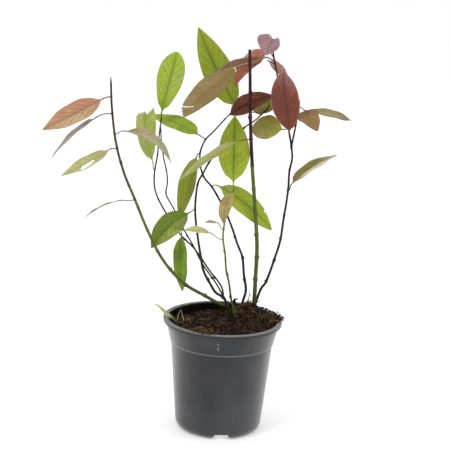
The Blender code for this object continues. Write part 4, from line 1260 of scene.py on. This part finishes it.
def make_stem(main_shoot, twigs, finishes):
    grown = [Stem(shoot) for shoot in (main_shoot, *twigs)]
    points, faces, notes = [], [], []
    for stem in grown:
        more_points, more_faces, more_notes = stem.skin()
        first = len(points)
        points += [tuple(p) for p in more_points]
        faces += [tuple(first + k for k in face) for face in more_faces]
        notes += more_notes
    finish = finishes[main_shoot.finish]
    piece = new_piece(main_shoot.name + "_bark", points, faces, finish)
    store(piece, notes)
    slot = "dark_stem" if main_shoot.finish == "dark_stem" else "green_stem"
    settle(piece, slot, main_shoot.name)
    return grown


def inner_radius(z):
    """The pot's inner radius at the height z."""
    if z > COLLAR_FOOT_Z:
        share = (z - COLLAR_FOOT_Z) / (LIP_FOOT_Z - COLLAR_FOOT_Z)
        radius = COLLAR_FOOT_RADIUS + (COLLAR_TOP_RADIUS - COLLAR_FOOT_RADIUS) * min(share, 1.0)
    else:
        share = (z - CORNER_HEIGHT) / (COLLAR_FOOT_Z - CORNER_HEIGHT)
        radius = BODY_FOOT_RADIUS + (BODY_TOP_RADIUS - BODY_FOOT_RADIUS) * share
    return radius - POT_WALL


def foot_corner(share):
    """A point on the rounded corner between the foot and the body."""
    turn = math.pi / 2 * share
    radius = FOOT_RADIUS + (BODY_FOOT_RADIUS - FOOT_RADIUS) * math.sin(turn)
    return radius, CORNER_HEIGHT * (1 - math.cos(turn))


def rounded(profile, radius, count=4):
    """The profile with each corner between its ends rounded by an arc-like curve."""
    out = [profile[0]]
    for before, here, after in zip(profile, profile[1:], profile[2:]):
        a, b, c = Vector(before), Vector(here), Vector(after)
        reach = min(radius, (a - b).length * 0.45, (c - b).length * 0.45)
        start = b + (a - b).normalized() * reach
        end = b + (c - b).normalized() * reach
        for i in range(count + 1):
            t = i / count
            out.append(tuple(start.lerp(b, t).lerp(b.lerp(end, t), t)))
    return out + [profile[-1]]


def turned(profile, sides):
    """Points and faces of a profile of (radius, z) turned round Z. Radius 0 is one point."""
    points, rows, faces = [], [], []
    for radius, z in profile:
        first = len(points)
        count = 1 if radius == 0 else sides
        points += circle(radius, z, count)
        rows.append([first + k % count for k in range(sides)])
    for low, high in zip(rows, rows[1:]):
        for k in range(sides):
            n = (k + 1) % sides
            corners = (low[k], low[n], high[n], high[k])
            faces.append(tuple(dict.fromkeys(corners)))
    return points, faces


def pot_finish():
    """Moulded charcoal plastic: faint mould grain, painted highlights along the collar step and rim, dust,
    soil splashes, scuffs, painted shade on the lip's outer face, and a peat stain with painted shade on the
    inner wall.
    """
    finish = Finish("pot_plastic", Specular_IOR_Level=0.36, Sheen_Weight=0.34, Sheen_Roughness=0.45)
    step, cover, grain = finish.step, finish.cover, finish.noise
    x, y, z = finish.parts(finish.stretched(1 / MM, 1 / MM, 1 / MM))
    finish.base = finish.mix(step(grain(14.0), 0.35, 0.65), PLASTIC, PLASTIC_WORN)
    streak = grain(210.0, vector=finish.stretched(1.0, 1.0, 0.05))
    cover(step(streak, 0.6, 0.85, 0.0, 0.08), DUST)

    # Painted highlights: a pale band along the collar step and a thin pale line along the rim's top edge, in
    # the scuff colour.
    step_highlight = step(abs(z - (COLLAR_FOOT_Z + 0.2)) + grain(120.0) * 0.4, 1.4, 0.3)
    rim_highlight = step(abs(z - (POT_HEIGHT - 0.3)), 0.6, 0.2, 0.0, 0.3)
    cover(finish.calc("MAXIMUM", step_highlight * 0.3, rim_highlight), SCUFF_AND_HIGHLIGHT)
    dusty = step(grain(40.0), 0.46, 0.6) * step(x, 20, -30) * step(z, 100, 60)
    cover(step(grain(760.0, 2.0), 0.66, 0.74) * dusty * 0.4, SCUFF_AND_HIGHLIGHT)

    radius = finish.calc("SQRT", x * x + y * y)
    flare = (COLLAR_TOP_RADIUS - COLLAR_FOOT_RADIUS) / (LIP_FOOT_Z - COLLAR_FOOT_Z)
    outer = z * flare + (COLLAR_FOOT_RADIUS - flare * COLLAR_FOOT_Z)
    # The inner wall takes the peat's colour: partly a peat stain, partly painted shade inside the pot.
    inside = step(outer - radius, 0.7, 1.3) * step(z, POT_HEIGHT - 0.2, POT_HEIGHT - 1.2)
    cover(inside * step(grain(160.0, 4.0), 0.25, 0.5, 0.85, 0.97), PEAT)
    # Painted shade: the lip's outer face is darkened.
    lip = step(z, LIP_FOOT_Z - 0.4, LIP_FOOT_Z + 0.4) * step(z, POT_HEIGHT - 0.4, POT_HEIGHT - 1.4)
    cover(lip * step(radius, COLLAR_TOP_RADIUS, COLLAR_TOP_RADIUS + 0.8) * 0.8, PLASTIC_SHADE)
    dirt = step(z, POT_HEIGHT - 12, POT_HEIGHT) * step(x, 0, -20) * step(grain(240.0), 0.5, 0.68)
    cover(dirt * 0.5, PEAT_BROWN)

    rubbed = step(grain(420.0, 4.0, finish.stretched(1.0, 1.0, 0.35)), 0.4, 0.62) * step(y, 0, -20)
    for (at_x, at_z), (wide, tall), bright in SCUFFS:
        across, upward = (x - at_x) / wide, (z - at_z) / tall
        away = across * across + upward * upward
        cover(step(away, 1.0, 0.1, 0.0, bright) * rubbed, SCUFF_AND_HIGHLIGHT)

    dull = finish.calc("MAXIMUM", inside, step(z, POT_HEIGHT - 0.4, POT_HEIGHT - 0.1))
    roughness = dull * 0.55 + step(grain(260.0, 4.0), 0.3, 0.7, 0.24, 0.36)
    return finish.done(roughness, grain(1500.0), 0.00004, 0.4)


def make_pot():
    floor = CHANNEL_HEIGHT + POT_WALL
    foot_arc = [foot_corner(k / 12) for k in range(13)]
    lower = rounded(
        [
            (0, 0), (DISC_RADIUS, 0), (DISC_RADIUS + DISC_DRAFT, CHANNEL_HEIGHT),
            (FOOT_RADIUS - FOOT_RING - STEP_HEIGHT, CHANNEL_HEIGHT), (FOOT_RADIUS - FOOT_RING, 0),
            (FOOT_RADIUS, 0),
        ],
        POT_ROUND,
    )
    upper = rounded(
        [
            (BODY_FOOT_RADIUS, CORNER_HEIGHT), (BODY_TOP_RADIUS, COLLAR_FOOT_Z - STEP_HEIGHT),
            (COLLAR_FOOT_RADIUS, COLLAR_FOOT_Z), (COLLAR_TOP_RADIUS, LIP_FOOT_Z), (RIM_RADIUS, LIP_FOOT_Z),
            (RIM_RADIUS, POT_HEIGHT), (COLLAR_TOP_RADIUS - POT_WALL, POT_HEIGHT),
            (inner_radius(LIP_FOOT_Z), LIP_FOOT_Z), (COLLAR_FOOT_RADIUS - POT_WALL, COLLAR_FOOT_Z),
            (inner_radius(COLLAR_FOOT_Z - STEP_HEIGHT), COLLAR_FOOT_Z - STEP_HEIGHT),
            (inner_radius(floor + INNER_CORNER), floor + INNER_CORNER),
            (inner_radius(floor) - INNER_CORNER, floor), (DISC_RADIUS - DISC_DRAFT, floor),
            (DISC_RADIUS - DISC_DRAFT - DISC_ROUND, POT_WALL), (0, POT_WALL),
        ],
        POT_ROUND,
    )
    profile = lower[:-1] + foot_arc[:-1] + upper
    pot = new_piece("pot_shell", *turned(profile, POT_SIDES), pot_finish(), smooth_below=35)
    cutters = [notch(k) for k in range(NOTCH_COUNT)] + [drain(k) for k in range(NOTCH_COUNT)]
    cut_out(pot, cutters)
    settle(pot, "pot", "pot")


def cut_out(obj, cutters):
    """Cuts all these out of obj at once, and removes them."""
    group = bpy.data.collections.new(obj.name + "_cutters")
    bpy.context.scene.collection.children.link(group)
    for cutter in cutters:
        bpy.context.scene.collection.objects.unlink(cutter)
        group.objects.link(cutter)
    modifier = obj.modifiers.new("Cut", "BOOLEAN")
    modifier.operation = "DIFFERENCE"
    modifier.operand_type = "COLLECTION"
    modifier.collection = group
    modifier.solver = "EXACT"
    graph = bpy.context.evaluated_depsgraph_get()
    cut = bpy.data.meshes.new_from_object(obj.evaluated_get(graph))
    obj.modifiers.clear()
    obj.data = cut
    for cutter in cutters:
        bpy.data.objects.remove(cutter)
    bpy.data.collections.remove(group)


def notch(k):
    turn = NOTCH_TURN + 2 * math.pi * k / NOTCH_COUNT
    out, along = outward(turn), outward(turn + math.pi / 2)
    corners = [(-NOTCH_WIDTH, -1), (NOTCH_WIDTH, -1)]
    corners += [(NOTCH_TOP, NOTCH_HEIGHT), (-NOTCH_TOP, NOTCH_HEIGHT)]
    rings = []
    for reach in (FOOT_RADIUS - 3 * FOOT_RING, BODY_FOOT_RADIUS + 4):
        rings.append([out * reach + along * w / 2 + Vector((0, 0, z)) for w, z in corners])
    return new_piece(f"notch_{k}", *loft(rings), bpy.data.materials["pot_plastic"])


def drain(k):
    turn = NOTCH_TURN + 2 * math.pi * (k + 0.5) / NOTCH_COUNT
    at = outward(turn) * (DISC_RADIUS + FOOT_RADIUS - FOOT_RING) / 2
    ends = (CHANNEL_HEIGHT - 2, CHANNEL_HEIGHT + POT_WALL + 2)
    rings = [[at + Vector(p) for p in circle(DRAIN_RADIUS, z, DRAIN_SIDES)] for z in ends]
    return new_piece(f"drain_{k}", *loft(rings), bpy.data.materials["pot_plastic"])


def soil_height(x, y):
    """The height of the soil at (x, y): a slope, a mound and lumps."""
    dx, dy = x - MOUND_AT[0], y - MOUND_AT[1]
    mound = MOUND_HEIGHT * math.exp(-(dx * dx + dy * dy) / (2 * MOUND_SPREAD**2))
    lumps = math.sin(0.31 * x + 0.9) * math.sin(0.27 * y - 0.4)
    lumps += 0.6 * math.sin(0.53 * x - 0.47 * y)
    plane = SOIL_Z + (SOIL_SLOPE * x - SOIL_RISE * y) / BODY_TOP_RADIUS
    share = math.hypot(x, y) / COLLAR_TOP_RADIUS
    near_wall = min(max((share - EDGE_START) / (EDGE_END - EDGE_START), 0.0), 1.0)
    return plane + mound * (1 - EDGE_DROP * near_wall) + lumps


def crumbled_height(x, y):
    """The soil's height with its crumbs."""
    crumbs = noise.fractal(Vector((x / CRUMB_SCALE, y / CRUMB_SCALE, 3.0)), 0.9, 2.1, 4)
    clods = abs(noise.noise(Vector((x / CLOD_SCALE, y / CLOD_SCALE, 5.0))))
    pits = noise.noise(Vector((x / PIT_SCALE, y / PIT_SCALE, 9.0)))
    return soil_height(x, y) + 1.3 * crumbs + 0.7 * pits + 2.2 * clods - 0.5


def soil_edge(turn):
    """The radius and height where the soil meets the pot's wall in this direction."""
    radius, z = COLLAR_TOP_RADIUS, SOIL_Z
    for _ in range(4):
        radius = inner_radius(z) - SOIL_GAP
        z = min(soil_height(radius * math.cos(turn), radius * math.sin(turn)), POT_HEIGHT)
    return radius, z


def soil_finish(name, low, high, light, rough=0.9):
    """Peat, bark or moss: each bit has its own tone, from low to high, with light grains."""
    finish = Finish(name, Specular_IOR_Level=0.06)
    tone, _, _ = finish.place()
    cloud, fine = finish.noise(130.0, 4.0), finish.noise(1500.0)
    finish.base = finish.mix(finish.step((cloud - 0.5) * 1.6 + tone, 0.0, 1.0), low, high)
    finish.cover(finish.step(fine, 0.52, 0.78, 0.0, 0.5), light)
    return finish.done(finish.step(cloud, 0.3, 0.7, rough - 0.15, rough), fine, 0.0005)


def make_soil():
    floor = CHANNEL_HEIGHT + POT_WALL
    edges = [(turn, *soil_edge(turn)) for turn in turns(SOIL_SIDES)]
    rings = []
    for i in range(1, SOIL_RINGS + 1):
        share = i / SOIL_RINGS
        ring = []
        for turn, radius, edge_z in edges:
            x, y = share * radius * math.cos(turn), share * radius * math.sin(turn)
            ring.append((x, y, edge_z if i == SOIL_RINGS else crumbled_height(x, y)))
        rings.append(ring)
    below = (
        (inner_radius(COLLAR_FOOT_Z - STEP_HEIGHT), COLLAR_FOOT_Z),
        (inner_radius(floor + INNER_CORNER), floor + INNER_CORNER + SOIL_GAP),
        (inner_radius(floor) - INNER_CORNER, floor + SOIL_GAP),
    )
    for radius, z in below:
        rings.append(circle(radius - 2 * SOIL_GAP, z, SOIL_SIDES))
    points, faces = loft(rings)
    points += [(0, 0, crumbled_height(0, 0)), (0, 0, floor + SOIL_GAP)]
    top_index, bottom_index = len(points) - 2, len(points) - 1
    last = top_index - SOIL_SIDES
    faces = faces[2:]
    for k in range(SOIL_SIDES):
        n = (k + 1) % SOIL_SIDES
        faces += [(k, n, top_index), (last + k, last + n, bottom_index)]
    soil = new_piece("soil_bed", points, faces, soil_finish("peat", PEAT, PEAT_BROWN, PEAT_RED))
    store(soil, [(SOIL_TONE, 0, 0)] * len(points))
    settle(soil, "soil", "soil")


class Litter:
    """Many small bits that lie on the soil, gathered into one piece."""

    def __init__(self, seed):
        self.random = random.Random(seed)
        self.pick = self.random.uniform
        self.points, self.faces, self.notes = [], [], []
        shape = bmesh.new()
        bmesh.ops.create_icosphere(shape, subdivisions=2, radius=1.0)
        shape.verts.index_update()
        self.ball = [v.co.copy() for v in shape.verts]
        self.ball_faces = [tuple(v.index for v in face.verts) for face in shape.faces]
        shape.free()

    def add(self, points, faces, tone):
        first = len(self.points)
        self.points += [tuple(p) for p in points]
        self.faces += [tuple(first + k for k in face) for face in faces]
        self.notes += [(tone, 0.0, 0.0)] * len(points)

    def spot(self, place=None, lift=0.0):
        """A place on the soil, or this much above: anywhere in the pot, or about place."""
        while True:
            if place:
                x, y = (self.random.gauss(at, place[2]) for at in place[:2])
            else:
                reach = (COLLAR_TOP_RADIUS - 4) * math.sqrt(self.pick(0, 1))
                turn = self.pick(0, 2 * math.pi)
                x, y = reach * math.cos(turn), reach * math.sin(turn)
            if math.hypot(x, y) < inner_radius(SOIL_Z + 2) - 1.0:
                return Vector((x, y, crumbled_height(x, y) + lift))

    def spots(self, places, lift=0.0):
        for place, count in places:
            for _ in range(count):
                yield self.spot(place, lift)

    def direction(self, rise=0.0):
        turn = self.pick(0, 2 * math.pi)
        return Vector((math.cos(turn), math.sin(turn), rise)).normalized()

    def crumb(self, at, size, tone):
        """A lump of peat: a rounded block with a rough skin."""
        spin = Quaternion(self.direction(1.0), self.pick(0, 6.28))
        stretch = Vector((size, size * self.pick(0.6, 1), size * self.pick(0.45, 0.8)))
        seed = Vector((self.pick(0, 99), 0, 0))
        points = []
        for v in self.ball:
            rough = 1 + CRUMB_ROUGHNESS * noise.noise(v * CRUMB_LUMPS + seed)
            points.append(at + spin @ (v * rough * stretch))
        self.add(points, self.ball_faces, tone)

    def fibre(self, at, length, radius, tone, rise=0.25, curl=0.8):
        """A curved root or stalk that lies on the soil with its ends a little up or down."""
        ahead = self.direction(self.pick(-0.1, rise))
        side = ahead.orthogonal().normalized()
        bend = Quaternion(ahead, self.pick(0, 6.28)) @ side * self.pick(-curl, curl)
        path, radii = [], []
        for k in range(FIBRE_STEPS + 1):
            t = k / FIBRE_STEPS - 0.5
            path.append(at + ahead * length * t + bend * length * (t * t - 0.08))
            radii.append(radius * (1 - FIBRE_TAPER * abs(2 * t) ** 2))
        self.tube(path, radii, tone)

    def tube(self, path, radii, tone, sides=5):
        rings = []
        side = (path[1] - path[0]).orthogonal().normalized()
        for k, (centre, radius) in enumerate(zip(path, radii)):
            ahead = (path[min(k + 1, len(path) - 1)] - path[max(k - 1, 0)]).normalized()
            side = (side - ahead * side.dot(ahead)).normalized()
            other = ahead.cross(side)
            round_it = [side * math.cos(a) + other * math.sin(a) for a in turns(sides)]
            rings.append([centre + away * radius for away in round_it])
        self.add(*loft(rings), tone)

    def twig(self, points, radii, tone):
        """A tapering piece of wood along these points."""
        path = Path(points)
        low, high = radii
        shares = [k / TWIG_STEPS for k in range(TWIG_STEPS + 1)]
        centres = [path.frame(path.length * share)[0] for share in shares]
        self.tube(centres, [low + (high - low) * share for share in shares], tone, sides=8)

    def chip(self, at, length, tone):
        """A flake of bark: a thin slab with uneven sides."""
        ahead = self.direction(self.pick(-0.2, 0.35))
        across = ahead.cross(Vector((0, 0, 1))).normalized()
        up = Quaternion(ahead, self.pick(-0.5, 0.5)) @ across.cross(ahead)
        across = ahead.cross(up)
        width, thick = length * self.pick(0.25, 0.5), length * self.pick(0.08, 0.16)
        rings = []
        for k in range(5):
            t = k / 4 - 0.5
            half = width / 2 * (1 - 1.6 * t * t) * self.pick(0.8, 1.15)
            corners = [(-half, -thick), (half, -thick), (half * 0.9, thick), (-half * 0.9, thick)]
            sag = up * self.pick(-0.3, 0.3)
            rings.append([at + ahead * length * t + across * a + up * b / 2 + sag for a, b in corners])
        self.add(*loft(rings), tone)

    def sprig(self, at, height, tone, lean=0.7):
        """A moss shoot: a thin stem set round with small pointed leaves."""
        tip = at + (Vector((0, 0, 1)) + self.direction() * self.pick(0, lean)) * height
        middle = (at + tip) / 2 + self.direction() * height * 0.15
        count = len(MOSS_STEM)
        path = [bezier([at, middle, tip], k / (count - 1))[0] for k in range(count)]
        self.tube(path, MOSS_STEM, tone - 0.3)
        count = int(8 + height * 1.5)
        for k in range(count):
            centre, ahead = bezier([at, middle, tip], 0.12 + 0.88 * k / count)
            out = Quaternion(ahead, k * MOSS_TURN) @ ahead.orthogonal().normalized()
            leaf = (out * 0.8 + ahead * 0.75).normalized()
            self.moss_leaf(centre, leaf, ahead, self.pick(0.9, 1.5), tone)

    def moss_leaf(self, at, ahead, up, length, tone):
        across = ahead.cross(up).normalized() * 0.17 * length
        thick = across.cross(ahead).normalized() * 0.07 * length
        middle = at + ahead * length * 0.4
        points = [at, at + ahead * length, middle + across, middle - across, middle + thick, middle - thick]
        faces = [(0, 2, 4), (0, 4, 3), (0, 3, 5), (0, 5, 2), (1, 4, 2), (1, 3, 4), (1, 5, 3), (1, 2, 5)]
        self.add(points, faces, tone + self.pick(-0.15, 0.15))

    def piece(self, name, finish):
        made = new_piece(name, self.points, self.faces, finish)
        store(made, self.notes)
        settle(made, "soil")


def make_wall_film():
    """Damp peat on the inside of the pot's wall, with an uneven upper edge; the dark film is also painted
    shade on the inner wall.
    """
    rings = [[], [], [], []]
    for turn in turns(SOIL_SIDES):
        out = outward(turn)
        low = soil_edge(turn)[1] - 1.0
        high = POT_HEIGHT - FILM_GAP - FILM_RAGGED * (1 + noise.noise(out * 9))
        high = max(high, low + 0.5)
        for ring, z, depth in zip(rings, (low, high, high, low), FILM_DEPTHS):
            ring.append(out * (inner_radius(z) - depth) + Vector((0, 0, z)))
    points, faces = loft(rings, closed=True)
    film = new_piece("peat_and_shade_on_wall", points, faces, soil_finish("film", PEAT, PEAT_BROWN, PEAT_BROWN))
    store(film, [(FILM_TONE, 0, 0)] * len(points))
    settle(film, "soil")


def make_litter():
    """What lies on the soil: crumbs, bark, roots, moss, and what hangs over the rim."""
    crumbs = Litter(SEEDS["crumbs"])
    for _ in range(CRUMB_COUNT):
        size = crumbs.pick(0.6, 1.7) ** 1.4
        crumbs.crumb(crumbs.spot(None, -CRUMB_SINK * size), size, crumbs.pick(0, 1))
    for _ in range(CLOD_COUNT):
        size = crumbs.pick(1.8, 3.4)
        crumbs.crumb(crumbs.spot(None, -CLOD_SINK * size), size, crumbs.pick(0.0, 0.9))
    for place, count in CRUMB_HEAPS:
        for _ in range(count):
            size = crumbs.pick(0.5, 1.9)
            crumbs.crumb(crumbs.spot(place, 0.3), size, crumbs.pick(0.2, 1.3))
    for *at, size in RIM_CRUMBS:
        crumbs.crumb(Vector(at), size, crumbs.pick(0.2, 0.9))
    crumbs.piece("peat_crumbs", soil_finish("crumbs", PEAT, PEAT_BROWN, PEAT_RED))

    bark = Litter(SEEDS["chips"])
    for at in bark.spots(CHIP_PLACES, 0.4):
        bark.chip(at, bark.pick(2.0, 7.5), bark.pick(0, 1))
    for *at, size in PEAT_BLOB:
        bark.crumb(Vector(at), size, -0.6)
    bark.twig(CROWN_STUB, (2.1, 0.8), 0.15)
    bark.piece("bark_chips", soil_finish("chips", CHIP_DARK, CHIP_MAUVE, CHIP_GREY))

    flakes = Litter(SEEDS["flakes"])
    for at in flakes.spots(FLAKE_PLACES, 0.9):
        flakes.chip(at, flakes.pick(1.4, 3.2), flakes.pick(0, 1))
    flakes.piece("red_flakes", soil_finish("flakes", CHIP_RED, CHIP_PINK, CREAM))

    roots = Litter(SEEDS["roots"])
    for _ in range(ROOT_COUNT):
        length = roots.pick(3, 12)
        at = roots.spot()
        at.z += roots.pick(-0.2, 0.5)
        roots.fibre(at, length, roots.pick(0.09, 0.22), roots.pick(0, 1) ** 1.6)
    for at in roots.spots(ROOT_HEAPS):
        at.z += roots.pick(0.2, 1.6)
        roots.fibre(at, roots.pick(3, 9), roots.pick(0.1, 0.2), roots.pick(0.3, 1.0), rise=0.7)
    for points in DRY_STALKS:
        roots.twig(points, (0.6, 0.25), 0.2)
    roots.piece("peat_fibres", soil_finish("fibres", CHIP_DARK, PEAT_OCHRE, SAND, rough=0.85))

    stalks = Litter(SEEDS["stalks"])
    for points in PALE_STALKS:
        stalks.twig(points, (0.55, 0.2), stalks.pick(0, 1))
    stalks.piece("pale_stalks", soil_finish("stalks", BROWN_OLIVE, BEIGE, CREAM, rough=0.85))

    moss = Litter(SEEDS["moss"])
    for place, count, height, tone in MOSS_PLACES:
        for at in moss.spots([(place, count)], -0.4):
            moss.sprig(at, moss.pick(0.6, 1.2) * height, tone + moss.pick(-0.3, 0.3))
    for at, tip in HANGING_MOSS:
        for k in range(HANGING_COUNT):
            start = Vector(at).lerp(Vector(tip), k / HANGING_COUNT)
            moss.sprig(start, 2.6, 0.45 + 0.05 * k, lean=1.6)
    moss.piece("moss", soil_finish("moss", MOSS_DARK, MOSS_OLIVE, MOSS_PALE, rough=0.8))


def make_grass():
    """The blade of grass: keeled, finely ribbed along its length, narrowing to its tip."""
    path = Path(GRASS_PATH)
    rings = []
    for i in range(GRASS_ROWS + 1):
        share = i / GRASS_ROWS
        centre, tangent, _, _ = path.frame(share * path.length)
        across = tangent.cross(Vector(GRASS_FACE)).normalized()
        up = across.cross(tangent)
        half = GRASS_WIDTH / 2 * (1 - share**2) * min(0.5 + share, 1.0) + GRASS_TIP
        top, bottom = [], []
        for x in np.linspace(-1, 1, GRASS_COLUMNS).tolist():
            middle = centre + across * half * x + up * GRASS_KEEL * abs(x)
            top.append(middle + up * (GRASS_THICKNESS / 2 + 0.05 * math.cos(9 * x)))
            bottom.append(middle - up * GRASS_THICKNESS / 2)
        rings.append(top + bottom[::-1])
    entry = Vector(GRASS_PATH[0])
    rings.insert(0, [Vector(GRASS_ROOT) + (p - entry) / 2 for p in rings[0]])
    finish = Finish("grass", Specular_IOR_Level=0.25)
    streak = finish.noise(500.0, 2.0)
    finish.base = finish.mix(finish.step(streak, 0.35, 0.65), PALE_LIME, GRASS_PALE)
    _, _, z = finish.parts(finish.position())
    finish.cover(finish.step(z, 0.1275, 0.1225, 0.0, 0.8), MOSS_DARK)
    material = finish.done(finish.step(streak, 0.3, 0.7, 0.45, 0.6))
    grass = new_piece("grass_leaf", *loft(rings), material)
    settle(grass, "grass", "grass_blade")


def add_aimed(name, data, at, forward, roll=0.0):
    """A camera or lamp that looks along forward and is turned about it by roll."""
    obj = bpy.data.objects.new(name, data)
    forward = Vector(forward)
    obj.rotation_mode = "QUATERNION"
    obj.rotation_quaternion = Quaternion(forward, roll) @ forward.to_track_quat("-Z", "Y")
    obj.location = at
    bpy.context.scene.collection.objects.link(obj)
    return obj


def make_camera():
    data = bpy.data.cameras.new("camera")
    data.lens = CAMERA_LENS
    data.sensor_width = CAMERA_SENSOR
    data.clip_start = 0.01
    bpy.context.scene.camera = add_aimed("camera", data, CAMERA_AT, CAMERA_FORWARD, CAMERA_ROLL)


def make_stage():
    world = bpy.data.worlds.new("studio")
    world.use_nodes = True
    background = world.node_tree.nodes["Background"]
    background.inputs["Color"].default_value = (1, 1, 1, 1)
    background.inputs["Strength"].default_value = 1.0
    bpy.context.scene.world = world
    bpy.context.scene.view_settings.view_transform = "Standard"
    corners = [(-1, -1), (1, -1), (1, 1), (-1, 1)]
    rings = [[(x * FLOOR_HALF, y * FLOOR_HALF, z) for x, y in corners] for z in FLOOR_LEVELS]
    floor_finish = Finish("floor", Base_Color=(0.85, 0.85, 0.85, 1.0), Roughness=0.6,
                          Emission_Color=(1.0, 1.0, 1.0, 1.0), Emission_Strength=0.22)
    floor = new_piece("floor", *loft(rings), floor_finish.material)
    floor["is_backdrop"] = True
    for name, at, toward, size, power in LAMPS:
        data = bpy.data.lights.new(name, "AREA")
        data.shape = "DISK"
        data.size = size
        data.energy = power
        add_aimed(name, data, at, Vector(toward) - Vector(at))


def write_sizes():
    boxes = {"cad": CAD_BOX, "visual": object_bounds()}
    plain = {name: [list(corner) for corner in box] for name, box in boxes.items()}


def main():
    make_camera()
    make_stage()
    make_pot()
    make_soil()
    make_wall_film()
    make_litter()
    make_grass()
    finishes = {kind: stem_finish(kind) for kind in STEM_KINDS}
    for main_shoot, twigs in STEM_NODES:
        for stem in make_stem(main_shoot, twigs, finishes):
            for leaf in stem.shoot.leaves:
                make_leaf(stem, leaf)
    write_sizes()


main()
